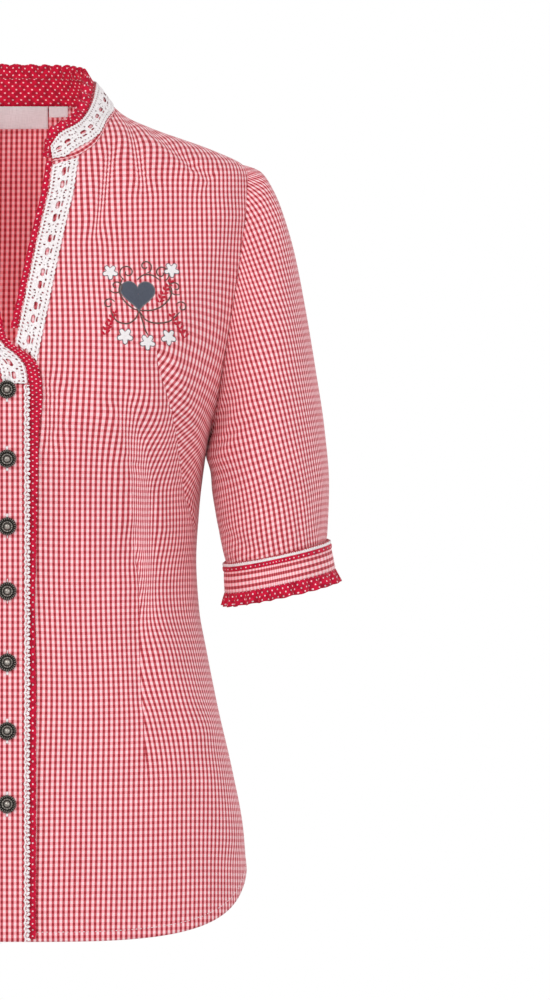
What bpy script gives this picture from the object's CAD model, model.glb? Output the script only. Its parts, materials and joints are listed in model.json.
"""How the dirndl blouse looks: checked cotton, white lace, dotted frills, sewn flowers and metal buttons.

Every piece of cloth is one fine sheet over the form of its solid, with its own flat cut as a UV map in
metres, so that checks and dots run as they do on the real cloth, through darts and round the sleeves.
The tables and functions for the form say the same as those of the solids, with finer creases added.
"""

import json
import math
from collections import namedtuple

import bmesh
import bpy
import numpy as np
from mathutils import Matrix, Vector

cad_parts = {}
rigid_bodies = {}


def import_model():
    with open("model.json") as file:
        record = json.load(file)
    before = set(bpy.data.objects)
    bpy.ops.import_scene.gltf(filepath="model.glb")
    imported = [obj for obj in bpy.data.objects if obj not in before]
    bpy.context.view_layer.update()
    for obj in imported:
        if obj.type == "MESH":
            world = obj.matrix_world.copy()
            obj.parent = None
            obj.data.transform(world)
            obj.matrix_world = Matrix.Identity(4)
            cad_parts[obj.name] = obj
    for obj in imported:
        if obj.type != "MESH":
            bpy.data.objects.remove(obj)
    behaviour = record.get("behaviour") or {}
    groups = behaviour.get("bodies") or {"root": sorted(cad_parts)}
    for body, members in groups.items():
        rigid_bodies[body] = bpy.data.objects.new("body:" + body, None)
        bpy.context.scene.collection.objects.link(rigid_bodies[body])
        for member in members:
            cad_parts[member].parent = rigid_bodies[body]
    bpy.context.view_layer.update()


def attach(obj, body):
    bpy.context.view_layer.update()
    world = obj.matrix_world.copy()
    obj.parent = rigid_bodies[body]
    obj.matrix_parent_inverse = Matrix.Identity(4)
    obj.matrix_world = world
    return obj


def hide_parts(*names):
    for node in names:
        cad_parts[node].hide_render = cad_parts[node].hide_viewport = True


for old in list(bpy.data.objects):
    bpy.data.objects.remove(old)
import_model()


MM = 0.001
WALL = 1.0 * MM
SEAM_GAP = 0.3 * MM
LAP_GAP = 0.6 * MM
SIDE = math.pi / 2


def named(kind, *values):
    """A table of named rows."""
    return tuple(kind(*row) for row in values)


# How far the right front stands off the left one where it laps over it
RIGHT_LEVEL = WALL + LAP_GAP
# Level sections of the body from the neck down, in millimetres: half the width, the depth of the front
# and of the back from the shoulder line, and how far the corners fill out from an oval
Section = namedtuple("Section", "height half_width front back fullness")
SECTIONS = named(
    Section,
    (12, 70, 42, 57, 0), (2.5, 80.6, 47, 61.5, 0), (-5, 89.5, 53, 66, 0), (-14, 109, 60, 72, 0),
    (-32, 158.6, 69, 82, 0.005), (-43, 181, 75, 88, 0.01), (-52, 187.5, 80, 92, 0.015),
    (-65, 190, 86, 96, 0.02), (-85, 192, 94, 101, 0.025), (-120, 191, 105, 105, 0.03),
    (-150, 186, 112, 105, 0.035), (-180, 179, 117, 103, 0.04), (-210, 170, 119, 99, 0.04),
    (-235, 161.5, 118, 95, 0.045), (-255, 154.5, 115, 91, 0.05), (-279, 150.5, 111, 87, 0.05),
    (-310, 147, 103.5, 82, 0.05), (-348, 144.8, 98.5, 78.5, 0.05), (-386, 147, 97.5, 81, 0.05),
    (-417, 152.5, 99, 87, 0.05), (-463, 161.7, 104, 98, 0.05), (-510, 172.5, 109, 107, 0.05),
    (-556, 181, 112, 110, 0.05), (-600, 184, 113, 111, 0.05), (-650, 184.5, 114, 112, 0.05),
)

# Soft folds and the bust shaping on one half of the front, in millimetres: a ridge where the rise is
# positive and a trough where it is negative, along the straight from one end to the other
Fold = namedtuple("Fold", "from_side from_height to_side to_height spread rise")
FRONT_FOLDS = named(
    Fold,
    (84, -176, 92, -214, 50, 13), (112, -196, 139, -300, 9, -2.2), (97, -330, 104, -452, 10, -2.6),
    (100, -368, 146, -478, 15, 3), (146, -478, 172, -560, 16, 2.6), (64, -60, 67, -118, 9, 2),
    (166, -84, 122, -178, 14, 2),
)
# Finer creases, which only the cloth shows
FRONT_FOLDS += named(
    Fold,
    (81, -28, 66, -100, 3.6, -2), (93, -5, 105, -63, 3.6, -1.9), (112, -17, 142, -44, 3.4, -1.9),
    (142, -44, 155, -54, 3, -1.6), (84, -222, 97, -275, 3.4, -1.5), (97, -275, 101, -350, 3.2, -1.9),
    (78, -226, 91, -270, 3.2, -1.1), (91, -270, 94.5, -335, 3, -1.4), (103, -262, 118, -322, 7, 1.6),
    (124, -196, 146, -262, 6, 1.5), (136, -188, 156, -240, 5, -1.2), (112, -232, 128, -282, 8, 1.2),
    (30.5, -205, 33, -262, 2.6, -1.2), (37, -215, 39, -250, 2.4, -0.7), (60, -395, 63, -520, 7, -0.9),
)
BACK_FOLDS = named(
    Fold,
    (62, -300, 66, -430, 9, -2.6), (92, -96, 84, -168, 40, 5), (88, -372, 122, -500, 16, 2.6),
    (138, -250, 96, -318, 14, 2.2),
)

# The hem: lowest at the centre, rising to the side seam in a round shirt tail
HEM_SIDE = -569.0 * MM
HEM_DROP = 72.0 * MM
HEM_WIDTH = 184.0 * MM
HEM_CORNER = 4.0
HEM_ROUND = 2.4

# The armhole, from the shoulder seam to the underarm
ARM_TOP = -42.7 * MM
ARM_BOTTOM = -255.0 * MM
ARM_SCOOP = math.radians(24.5)
ARM_SHAPE = 0.9

# The neckline from the shoulder seam to the V corner, and the V edge from there to the hem, as the
# distance from the centre line and the height, in millimetres
EdgePoint = namedtuple("EdgePoint", "side height")
NECK_POINT = 2.5
NECKLINE = named(
    EdgePoint,
    (77.2, -9.6), (71.6, -21.5), (64.2, -30.2), (50, -38), (34.6, -41),
)
FRONT_EDGE = named(
    EdgePoint,
    (34.6, -41), (33.1, -50), (31.6, -62), (26.8, -83), (21.4, -107), (14.4, -140), (9.6, -164),
    (6.8, -177), (1.6, -183.8), (-7.5, -191), (-13.8, -199.5), (-15.9, -212), (-16.2, -230),
)
OVERLAP = 16.2 * MM

# The stand collar's upper edge. Round 0 is its front corner, a half the shoulder seam and 1 the centre
# back, and so they are on the neckline that it is sewn to
CollarPoint = namedtuple("CollarPoint", "round side depth height")
COLLAR_TOP = named(
    CollarPoint,
    (0, 33.2, -61.5, -29.5), (0.08, 39, -58, -20), (0.2, 54, -47, -11), (0.3, 60.5, -36, -3),
    (0.41, 65, -18, 9.5), (0.52, 66.5, 3, 20.5), (0.74, 49.5, 36, 24), (1, 0, 52, 25),
)
COLLAR_NECK_POINT = 0.5
COLLAR_FRILL_START = 0.25
COLLAR_GAP = 0.55 * MM

# Lace: its width, where the cells end along a repeat and across, and the plain stretch before the first
# repeat. The first and third cell of each repeat's middle row are open slots
LACE_WIDTH = 19.4 * MM
LACE_ENDS = (0.0, 6.4, 10.2, 16.6, 26.6)
LACE_ROWS = (0.0, 8.3, 11.1, 19.4)
LACE_LEAD = 5.0
LACE_FOOT = -212.5 * MM

# The left lace's inner edge keeps straight on under the right front's frill
STRAIGHT_EDGE = FRONT_EDGE[:8] + (EdgePoint(5.4, -184.0), EdgePoint(2.0, -200.0))

# How far the frill along the right front's edge reaches towards the left, level by level
FrillRow = namedtuple("FrillRow", "height width")
FRILL_WIDTHS = named(
    FrillRow,
    (-41, 5.2), (-150, 5.6), (-177, 6.8), (-186, 9), (-198, 11.2), (-221, 12.4), (-248, 8.6),
    (-341, 6.1), (-415, 4.4), (-650, 4),
)
FRILL_TOP = -44.0 * MM
LEFT_FRILL_FOOT = -170.0 * MM
FRILL_GAP = 0.8 * MM
LACE_INSET = 0.35 * MM

# Four lines down the sleeve from the armhole to the cuff seam: outer, front, inner and back
SleevePoint = namedtuple("SleevePoint", "side depth height")
SLEEVE_OUTER = named(
    SleevePoint,
    (181, 0, -42.7), (194, -1, -47.9), (204.6, -2, -63.1), (211, -3, -78.5), (220.2, -4, -109.3),
    (229.4, -6, -155.5), (237.1, -8, -201.7), (244, -11, -248), (247.4, -13, -290), (245.4, -15, -334),
)
SLEEVE_FRONT = named(
    SleevePoint,
    (170, -47, -149), (187, -62, -184), (198, -70, -238), (203, -70, -290), (205.5, -64, -346),
)
SLEEVE_INNER = named(
    SleevePoint,
    (154.5, 0, -255), (156, -3, -268), (156.6, -6, -290), (159.4, -10, -310), (165, -14, -339),
    (168.4, -15, -351),
)
SLEEVE_BACK = named(
    SleevePoint,
    (170, 44, -149), (188, 50, -184), (199, 48, -238), (204, 42, -290), (206, 34, -339),
)
SLEEVE_SETTLE = 0.42
SLEEVE_ROWS = 15
SLEEVE_CROWD = 1.25
SLEEVE_IN, SLEEVE_OUT = 0.42 * MM, 0.3 * MM
SLEEVE_CLEAR = 3.4 * MM

# Soft folds of the sleeve: where they run round it (in turns from the outer line towards the front)
# and down it, how wide they are and how far they stand
SleeveFold = namedtuple("SleeveFold", "from_turn from_down to_turn to_down spread rise")
SLEEVE_FOLDS = named(
    SleeveFold,
    (0.36, 0.1, 0.2, 0.42, 0.035, -1.8), (0.44, 0.2, 0.3, 0.55, 0.04, 1.8),
    (0.42, 0.8, 0.3, 0.98, 0.035, -1.6), (0.6, 0.18, 0.74, 0.5, 0.045, 2),
    (0.33, 0.02, 0.27, 0.12, 0.016, -1), (0.39, 0.24, 0.31, 0.36, 0.018, -1.1),
    (0.22, 0.86, 0.18, 0.99, 0.02, 1), (0.12, 0.8, 0.08, 0.99, 0.022, -1),
)

# The cuff: a band round the sleeve's end, with a lace edge and a piping above and a frill below
CUFF_AXIS = (0.115, 0.02, -0.993)
CUFF_LAP = 1.6 * MM
CUFF_OUT = 1.9 * MM
CUFF_FLARE = 0.06
CUFF_LACE = (0.0, 2.7)
CUFF_PIPING = (3.1, 7.6)
CUFF_BAND = (0.0, 23.0)
CUFF_FRILL = (23.4, 33.6)

BUTTON_HEIGHTS = (-216.8, -269.4, -321.3, -371.7, -427.0, -479.7, -535.5)
PLACKET_TOP = -213.4 * MM
TRIM_EDGES = (12.2, 16.6)

# The two labels inside the back of the neck: from side to side, and from the seam down
LABEL_SIDES = (-30.0, 30.0)
LABEL_HEIGHTS = (1.5, -15.0)
SIZE_LABEL_SIDES = (31.0, 46.0)
SIZE_LABEL_HEIGHTS = (1.5, -6.0)

# Cells of the panels' grids, and the rows at which the neck corners and underarms lie
FRONT_ROWS = 35
FRONT_NECK_ROWS, FRONT_ARM_ROWS = 6, 14
BACK_ROWS, BACK_COLUMNS = 20, 12
BACK_NECK_COLUMNS, BACK_ARM_ROWS = 6, 10
ARM_SPREAD = 0.5
ROW_EASE = 1.9
EDGE_CROWDING = 0.35
EDGE_CROWD_AT = 0.27

# Waves along each frill, the grid columns on each, and how far they swing
COLLAR_WAVES = 42
WAVE = 1.3 * MM


def smoothstep(low, high, x):
    """0 below low, 1 above high, and an even rise between."""
    t = np.clip((x - low) / (high - low), 0, 1)
    return t * t * (3 - 2 * t)


def through(knots, values, x):
    """A smooth curve through the values at the knots that doesn't overshoot between them."""
    knots, values = np.asarray(knots, float), np.asarray(values, float)
    step = np.diff(knots)
    slope = np.diff(values) / step
    same = slope[:-1] * slope[1:] > 0
    mean = 2 * slope[:-1] * slope[1:] / np.where(same, slope[:-1] + slope[1:], 1)
    tangent = np.concatenate([slope[:1], np.where(same, mean, 0), slope[-1:]])
    x = np.clip(np.asarray(x, float), knots[0], knots[-1])
    i = np.clip(np.searchsorted(knots, x) - 1, 0, len(step) - 1)
    t = (x - knots[i]) / step[i]
    rest = 1 - t
    start = values[i] * (1 + 2 * t) * rest**2 + tangent[i] * step[i] * t * rest**2
    return start + values[i + 1] * t**2 * (3 - 2 * t) - tangent[i + 1] * step[i] * t**2 * rest


def column(rows, name):
    """One column of a table of named rows, in metres."""
    return np.array([getattr(row, name) for row in rows]) * MM


def falling(rows, name, height):
    """A column of a table that is laid out from the top down, at a height."""
    return through(column(rows, "height")[::-1], column(rows, name)[::-1], height)


def unit(vectors):
    """The vectors at length 1."""
    return vectors / np.linalg.norm(vectors, axis=-1, keepdims=True)


def section_at(height):
    """Half width, front depth, back depth and fullness of the body at a height."""
    sizes = [falling(SECTIONS, name, height) for name in ("half_width", "front", "back")]
    return *sizes, falling(SECTIONS, "fullness", height) / MM


def oval(theta, height):
    """A point of the plain body form: theta 0 is the centre front, a quarter turn the wearer's left."""
    half, front, back, fullness = section_at(height)
    sine, cosine = np.sin(theta), np.cos(theta)
    grow = 1 + fullness * np.sin(2 * theta) ** 2
    depth = np.where(cosine > 0, front, back)
    return np.stack([half * sine * grow, -depth * cosine * grow, height], axis=-1)


def fold_rise(folds, side, height):
    """How far the folds lift the cloth at a distance from the centre line and a height."""
    rise = np.zeros(np.shape(side))
    for fold in folds:
        start = np.array([fold.from_side, fold.from_height]) * MM
        run = np.array([fold.to_side, fold.to_height]) * MM - start
        length = math.hypot(*run)
        along = ((side - start[0]) * run[0] + (height - start[1]) * run[1]) / length
        across = ((side - start[0]) * run[1] - (height - start[1]) * run[0]) / length
        past = np.maximum(np.maximum(-along, along - length), 0)
        spread = fold.spread * MM
        rise = rise + fold.rise * MM * np.exp(-((across / spread) ** 2) - (past / spread) ** 2)
    return rise


def body_normal(theta, height):
    """The outward normal of the plain body form."""
    turn, rise = 1e-3, 1e-4
    round_it = oval(theta + turn, height) - oval(theta - turn, height)
    return unit(np.cross(round_it, oval(theta, height + rise) - oval(theta, height - rise)))


def body(theta, height, out=0.0):
    """A point of the worn cloth, out from its outer face along the form's normal."""
    theta, height = np.broadcast_arrays(np.asarray(theta, float), np.asarray(height, float))
    point = oval(theta, height)
    side = np.abs(point[..., 0])
    front = fold_rise(FRONT_FOLDS, side, height) * smoothstep(0, 0.25, np.cos(theta))
    back = fold_rise(BACK_FOLDS, side, height) * smoothstep(0, 0.25, -np.cos(theta))
    return point + body_normal(theta, height) * (out + front + back)[..., None]


def theta_at(side, height):
    """The angle on the front at which the plain form reaches a distance from the centre line."""
    half, _, _, fullness = section_at(height)
    theta = np.arcsin(np.clip(side / half, -1, 1))
    for _ in range(12):
        reach = half * (1 + fullness * np.sin(2 * theta) ** 2)
        theta = np.arcsin(np.clip(side / reach, -1, 1))
    return theta


def route(points, share):
    """A smooth line through (theta, height) points, at shares of its length on the body."""
    points = np.asarray(points, float)
    steps = np.linalg.norm(np.diff(oval(points[:, 0], points[:, 1]), axis=0), axis=1)
    run = np.concatenate([[0], np.cumsum(steps)])
    at = np.asarray(share) * run[-1]
    return through(run, points[:, 0], at), through(run, points[:, 1], at)


def hem_height(side):
    """The height of the shirt-tail hem at a distance from the centre line."""
    t = np.clip(np.abs(side) / HEM_WIDTH, 0, 1)
    return HEM_SIDE - HEM_DROP * (1 - t**HEM_CORNER) ** (1 / HEM_ROUND)


def seam_angle(height):
    """The angle that half a seam's gap takes at the side, where the panels' walls come together."""
    return 0.75 * SEAM_GAP / section_at(height)[1]


def armhole(turn, back=False):
    """(theta, height) on the armhole: turn 0 is the shoulder seam and pi the underarm."""
    height = ARM_TOP + (ARM_BOTTOM - ARM_TOP) * (1 - np.cos(turn)) / 2
    scoop = ARM_SCOOP * np.abs(np.sin(turn)) ** ARM_SHAPE
    away = np.maximum(scoop, seam_angle(height))
    return (SIDE + away if back else SIDE - away), height


def arm_turn(share):
    """The turn round the armhole at a share of its rows, which are wider apart at both of its ends."""
    return math.pi * share + ARM_SPREAD / 2 * np.sin(2 * math.pi * share)


def along_two(v, corner, first, second):
    """The line `first` up to v = corner, and `second` after it."""
    a, b = first(np.clip(v / corner, 0, 1)), second(np.clip((v - corner) / (1 - corner), 0, 1))
    return [np.where(v < corner, p, q) for p, q in zip(a, b)]


def edge_side(height):
    """How far the left front's edge lies to the wearer's left of the centre line at a height."""
    return falling(FRONT_EDGE, "side", height)


def edge_route(share):
    """The left front's edge from the V corner to the hem as (theta, height), with its rows closer
    together where it curves over the centre line."""
    foot = (HEM_SIDE - HEM_DROP) / MM
    last = FRONT_EDGE[-1]
    straight = [EdgePoint(last.side, h) for h in np.linspace(last.height, foot, 9)[1:]]
    rows = FRONT_EDGE + tuple(straight)
    side, height = column(rows, "side"), column(rows, "height")
    phase = 2 * math.pi * EDGE_CROWD_AT
    crowd = np.sin(2 * math.pi * np.asarray(share) - phase) + math.sin(phase)
    crowded = share - EDGE_CROWDING * crowd / (2 * math.pi)
    return route(np.stack([theta_at(side, height), height], 1), crowded)


def neck_route(share):
    """The front neckline from the shoulder seam to the V corner as (theta, height)."""
    side, height = column(NECKLINE, "side"), column(NECKLINE, "height")
    top = NECK_POINT * MM
    start = [SIDE - float(seam_angle(top)), top]
    return route(np.vstack([start, np.stack([theta_at(side, height), height], 1)]), share)


def side_route(share, back=False):
    """The side seam from the underarm to the hem as (theta, height)."""
    height = ARM_BOTTOM + (HEM_SIDE - ARM_BOTTOM) * share
    away = seam_angle(height)
    return (SIDE + away if back else SIDE - away), height


def hem_bend(theta, plain, v):
    """How far a point of a panel's lower half moves so that the last row follows the hem."""
    side = section_at(HEM_SIDE)[0] * np.sin(theta)
    return (hem_height(side) - plain) * smoothstep(0.6, 1.0, v)


def front_sheet(u, v, mirrored=False):
    """(theta, height) of a front: u runs from its edge to the side, v from the shoulder to the hem."""
    eased = 1 - (1 - u) ** ROW_EASE
    inner = along_two(v, FRONT_NECK_ROWS / FRONT_ROWS, neck_route, edge_route)
    outer = along_two(v, FRONT_ARM_ROWS / FRONT_ROWS, lambda s: armhole(arm_turn(s)), side_route)
    theta = inner[0] + (outer[0] - inner[0]) * u
    height = inner[1] + (outer[1] - inner[1]) * eased
    foot = HEM_SIDE - HEM_DROP
    last = edge_route(1.0)[0]
    height = height + hem_bend(last + (SIDE - last) * u, foot + (HEM_SIDE - foot) * eased, v)
    return (-theta if mirrored else theta), height


def back_sheet(u, v):
    """(theta, height) of the back: u -1 and 1 are the side seams and 0 the centre back."""
    share, corner = np.abs(u), BACK_NECK_COLUMNS / BACK_COLUMNS
    top, foot = NECK_POINT * MM, HEM_SIDE - HEM_DROP
    outer = along_two(
        v,
        BACK_ARM_ROWS / BACK_ROWS,
        lambda s: armhole(arm_turn(s), back=True),
        lambda s: side_route(s, back=True),
    )
    settled = 1 - (1 - v) ** 4
    on_neck, on_shoulder = np.clip(share / corner, 0, 1), np.clip((share - corner) / (1 - corner), 0, 1)
    across = on_neck + (share - on_neck) * settled
    down = on_shoulder + (share - on_shoulder) * settled
    theta = math.pi + (outer[0] - math.pi) * across
    middle = top + (foot - top) * v
    height = middle + (outer[1] - middle) * down
    last = math.pi + (SIDE - math.pi) * share
    height = height + hem_bend(last, foot + (HEM_SIDE - foot) * share, v)
    return np.where(u < 0, 2 * math.pi - theta, theta), height


def lift(side, height):
    """How far the right front stands off where it laps over the left one."""
    across = smoothstep(-62 * MM, -30 * MM, side)
    return RIGHT_LEVEL * across * smoothstep(-110 * MM, -165 * MM, height)


def on_front(side, height, out):
    """A point over the left front, at a distance to the wearer's left of the centre line."""
    return body(theta_at(side, height), height, out)


def on_right_front(side, height, out):
    """The same over the right front, which rises where it laps over the left one."""
    return body(theta_at(side, height), height, out + lift(side, height))


def neck_ring(round_it):
    """(theta, height) of the neckline from the V corner (0) over the shoulder (a half) to the back."""
    top = NECK_POINT * MM
    front = neck_route(np.clip(1 - round_it / COLLAR_NECK_POINT, 0, 1))
    share = np.clip((round_it - COLLAR_NECK_POINT) / (1 - COLLAR_NECK_POINT), 0, 1)
    start = SIDE + float(seam_angle(top))
    in_front = round_it < COLLAR_NECK_POINT
    theta = np.where(in_front, front[0], start + (math.pi - start) * share)
    return theta, np.where(in_front, front[1], top)


def collar_point(u, up, inward=0.0):
    """A point of the stand collar: u from its left front corner round the back to the right one, up
    from the neckline's seam to its top edge, and inward from its outer face."""
    turned = COLLAR_TOP[-2]
    beyond = CollarPoint(2 - turned.round, -turned.side, turned.depth, turned.height)
    rows = COLLAR_TOP + (beyond,)
    knots = np.array([row.round for row in rows])

    def plain(u, up):
        round_it, mirror = 1 - np.abs(1 - 2 * u), np.where(u > 0.5, -1, 1)
        base = body(*neck_ring(round_it))
        top = [through(knots, column(rows, name), round_it) for name in ("side", "depth", "height")]
        top = np.stack(top, axis=-1)
        rise = top - base
        gap = (COLLAR_GAP / np.linalg.norm(rise, axis=-1))[..., None]
        up = up[..., None]
        point = base + rise * (gap + (1 - gap) * up)
        return point * np.stack([mirror, np.ones_like(u), np.ones_like(u)], axis=-1)

    u, up = np.broadcast_arrays(np.asarray(u, float), np.asarray(up, float))
    step = 1e-3
    low, high = np.clip(u - step, 0, 1), np.clip(u + step, 0, 1)
    normal = np.cross(plain(high, up) - plain(low, up), plain(u, up + step) - plain(u, up - step))
    return plain(u, up) - unit(normal) * np.asarray(inward)[..., None]


def collar_edge(share):
    """(u, up) along the collar's free edge: up its left front edge, round its top and down again."""
    corner = 0.04
    start = COLLAR_FRILL_START
    u = np.clip((share - corner) / (1 - 2 * corner), 0, 1)
    rise = start + (1 - start) * np.clip(np.minimum(share, 1 - share) / corner, 0, 1)
    return u, rise


def line_at(points, share):
    """A point at a share of the length of a line of table points."""
    names = ("side", "depth", "height")
    places = np.stack([column(points, name) for name in names], axis=-1)
    run = np.concatenate([[0], np.cumsum(np.linalg.norm(np.diff(places, axis=0), axis=1))])
    values = [through(run, places[:, k], np.asarray(share) * run[-1]) for k in range(3)]
    return np.stack(values, axis=-1)


def sleeve_section(turn, down):
    """A point of the plain left sleeve: turn 0 is its outer line, a quarter its front."""
    outer, front, inner, back = (
        line_at(line, down) for line in (SLEEVE_OUTER, SLEEVE_FRONT, SLEEVE_INNER, SLEEVE_BACK)
    )
    cosine, sine = np.cos(turn)[..., None], np.sin(turn)[..., None]
    centre, middle = (outer + inner) / 2, (front + back) / 2
    return centre + (outer - inner) / 2 * cosine + (front - back) / 2 * sine + (middle - centre) * sine**2


def armhole_ring(turn):
    """The left sleeve's first ring: just inside the armhole's edge and just outside the body."""
    turn = np.mod(turn, 2 * math.pi)
    is_back = turn > math.pi
    front, back = armhole(turn), armhole(2 * math.pi - turn, back=True)
    theta, height = (np.where(is_back, b, f) for f, b in zip(front, back))
    edge, normal = body(theta, height), body_normal(theta, height)
    middle = oval(np.array(SIDE), np.array((ARM_TOP + ARM_BOTTOM) / 2))
    into = middle - edge
    into = unit(into - normal * np.sum(into * normal, axis=-1, keepdims=True))
    return edge + into * SLEEVE_IN + normal * SLEEVE_OUT


def plain_sleeve(turn, down):
    """The left sleeve's outer face before its folds."""
    start = armhole_ring(turn) - sleeve_section(turn, 0 * down)
    fade = (1 - smoothstep(0, SLEEVE_SETTLE, down))[..., None]
    point = sleeve_section(turn, down) + start * fade
    half, front, back, _ = section_at(point[..., 2])
    depth = np.where(point[..., 1] < 0, front, back)
    theta = np.arctan2(point[..., 0] / half, -point[..., 1] / depth)
    nearest, normal = body(theta, point[..., 2]), body_normal(theta, point[..., 2])
    off = np.sum((point - nearest) * normal, axis=-1)
    first_row = (1 / SLEEVE_ROWS) ** SLEEVE_CROWD
    wanted = SLEEVE_CLEAR * smoothstep(0, first_row, down)
    short = np.maximum(wanted - off, 0) * smoothstep(0, first_row / 3, down)
    return point + normal * short[..., None]


def sleeve(turn, down, out=0.0):
    """A point of the left sleeve, out from its outer face."""
    step = 1e-3
    around = plain_sleeve(turn + step, down) - plain_sleeve(turn - step, down)
    low, high = np.clip(down - step, 0, 1), np.clip(down + step, 0, 1)
    normal = unit(np.cross(around, plain_sleeve(turn, high) - plain_sleeve(turn, low)))
    rise = np.zeros(np.shape(turn))
    for fold in SLEEVE_FOLDS:
        start = np.array([fold.from_turn, fold.from_down])
        run = np.array([fold.to_turn, fold.to_down]) - start
        length = math.hypot(*run)
        x, y = turn / (2 * math.pi) - start[0], down - start[1]
        along, across = (x * run[0] + y * run[1]) / length, (x * run[1] - y * run[0]) / length
        past = np.maximum(np.maximum(-along, along - length), 0)
        rise = rise + fold.rise * MM * np.exp(-(across / fold.spread) ** 2 - (past / 0.08) ** 2)
    rise = rise * smoothstep(0, 0.12, down) * smoothstep(1.0, 0.94, down)
    return plain_sleeve(turn, down) + normal * (out + rise)[..., None]


def sleeve_turn(u):
    """The turn round the sleeve at a share of its grid, so that its columns meet the panels' rows."""
    columns = FRONT_ARM_ROWS + BACK_ARM_ROWS
    in_front = arm_turn(np.clip(u * columns / FRONT_ARM_ROWS, 0, 1))
    behind = 2 * math.pi - arm_turn(np.clip((1 - u) * columns / BACK_ARM_ROWS, 0, 1))
    return np.where(u * columns <= FRONT_ARM_ROWS, in_front, behind)


def cuff_point(turn, below, out=0.0):
    """A point round the left cuff: below its top edge, and out from the sleeve's end."""
    ring = line_ring(turn)
    centre = ring.mean_point
    radial = ring.points - centre
    grow = 1 + CUFF_FLARE * below[..., None] / (CUFF_BAND[1] * MM)
    axis = np.array(CUFF_AXIS)
    return centre + radial * grow + ring.normals * out[..., None] + axis * (below - CUFF_LAP)[..., None]


Ring = namedtuple("Ring", "points normals mean_point")


def line_ring(turn):
    """The sleeve's last ring with its outward normals and its centre."""
    end, step = np.ones(np.shape(turn)), 1e-3
    points = sleeve_section(turn, end)
    around = sleeve_section(turn + step, end) - sleeve_section(turn - step, end)
    normals = unit(np.cross(around, np.array(CUFF_AXIS)))
    whole = np.linspace(0, 2 * math.pi, 48, endpoint=False)
    return Ring(points, normals, sleeve_section(whole, np.ones(48)).mean(axis=0))


def mirror_points(points, is_left):
    """The points on the wearer's left as they are, and turned over for the right."""
    return points * np.array([1 if is_left else -1, 1, 1])


# Darts, as lines down one half of a panel from their upper to their lower end, in millimetres
DartPoint = namedtuple("DartPoint", "side height")
WAIST_DART = named(
    DartPoint,
    (100, -325), (101.5, -390), (104, -455), (107, -521),
)
BUST_DART = named(
    DartPoint,
    (110, -186), (114, -206), (118.6, -219), (122.4, -232.5), (129.4, -255), (136.7, -292.6),
    (144.8, -329),
)
BACK_DART = named(
    DartPoint,
    (61, -235), (64, -348), (68, -470),
)
WAIST_TAKE = 20.0 * MM
BACK_TAKE = 24.0 * MM
BUST_TURN = math.radians(36)
BUST_TURN_FROM, BUST_TURN_TO = math.radians(38), math.radians(168)
DART_FADE = 60.0 * MM

# Cells of the fine cloth. A guide is the column, as a share of the panel's width, that lies on a dart
FRONT_CELLS = (92, 224)
WAIST_GUIDE, BUST_GUIDE = 38 / 92, 66 / 92
BACK_CELLS = (156, 190)
BACK_GUIDE = 30 / 78
SLEEVE_CELLS = (144, 132)
SLEEVE_TUCK = 0.012
SLEEVE_CAP = 0.45
SLEEVE_BEND, SLEEVE_STRAIGHT = 0.22, 0.80
CAP_DEPTH = 0.45
SLEEVE_INSEAM = FRONT_ARM_ROWS / (FRONT_ARM_ROWS + BACK_ARM_ROWS)
CLOTH = 0.5 * MM

# The turned hem, and the strip of the back that comes forward over the shoulder seam
HEM_TURN = 7.5 * MM
HEM_RISE = 0.3 * MM
YOKE_ROWS = 5.2
YOKE_FROM = 0.30
YOKE_TURN = math.radians(52)


def around(theta, height, start=0.0):
    """The length of cloth round the body from an angle to theta, level at a height."""
    half, front, back, fullness = (np.asarray(size)[..., None] for size in section_at(height))
    turn = start + (np.asarray(theta)[..., None] - start) * np.linspace(0, 1, 41)
    grow = 1 + fullness * np.sin(2 * turn) ** 2
    depth = np.where(np.cos(turn) > 0, front, back)
    x, y = half * np.sin(turn) * grow, -depth * np.cos(turn) * grow
    return np.sign(theta - start) * np.hypot(np.diff(x), np.diff(y)).sum(axis=-1)


def drop(height, turn):
    """How high a point lies along the cloth, measured down the form's profile at an angle."""
    heights = np.linspace(-660 * MM, 12 * MM, 673)
    path = oval(np.full(heights.shape, turn), heights)
    run = np.concatenate([[0], np.cumsum(np.hypot(np.diff(path[:, 1]), np.diff(path[:, 2])))])
    return np.interp(height, heights, run)


def dart_column(dart, rest, sheet):
    """Row by row, the share of a panel's width at which it crosses a dart's line. Off the dart it goes
    back to the share `rest`."""
    rows, shares = np.linspace(0, 1, 241), np.linspace(0.02, 0.975, 400)
    theta, height = sheet(*np.broadcast_arrays(shares, rows[:, None]))
    lows, sides = column(dart, "height")[::-1], column(dart, "side")[::-1]
    past = np.abs(oval(theta, height)[..., 0]) - np.interp(height, lows, sides)
    first = np.where((past > 0).any(axis=1), (past > 0).argmax(axis=1), len(shares) - 1)
    level = height[np.arange(len(rows)), first]
    off = np.maximum(np.maximum(level - lows[-1], lows[0] - level), 0)
    share = shares[first]
    share = np.convolve(np.pad(share, 2, mode="edge"), np.full(5, 0.2), mode="valid")
    return rows, share + (rest - share) * smoothstep(0, DART_FADE, off)


def spread(across, knots, shares):
    """The share of a panel's width at a share of its columns, which bunch so as to follow the guides."""
    low = [0.0] + list(knots)
    high = list(knots) + [1.0]
    across = np.clip(across, 0, 1)
    ends = [np.zeros_like(across)] + shares + [np.ones_like(across)]
    made = np.zeros_like(across)
    for k, (start, end) in enumerate(zip(low, high)):
        part = (across - start) / (end - start)
        inside = (across >= start) & (across <= end)
        made = np.where(inside, ends[k] + (ends[k + 1] - ends[k]) * part, made)
    return made


FRONT_LINES = [
    dart_column(WAIST_DART, WAIST_GUIDE, front_sheet),
    dart_column(BUST_DART, BUST_GUIDE, front_sheet),
]
BACK_LINES = [dart_column(BACK_DART, BACK_GUIDE, back_sheet)]


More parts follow.
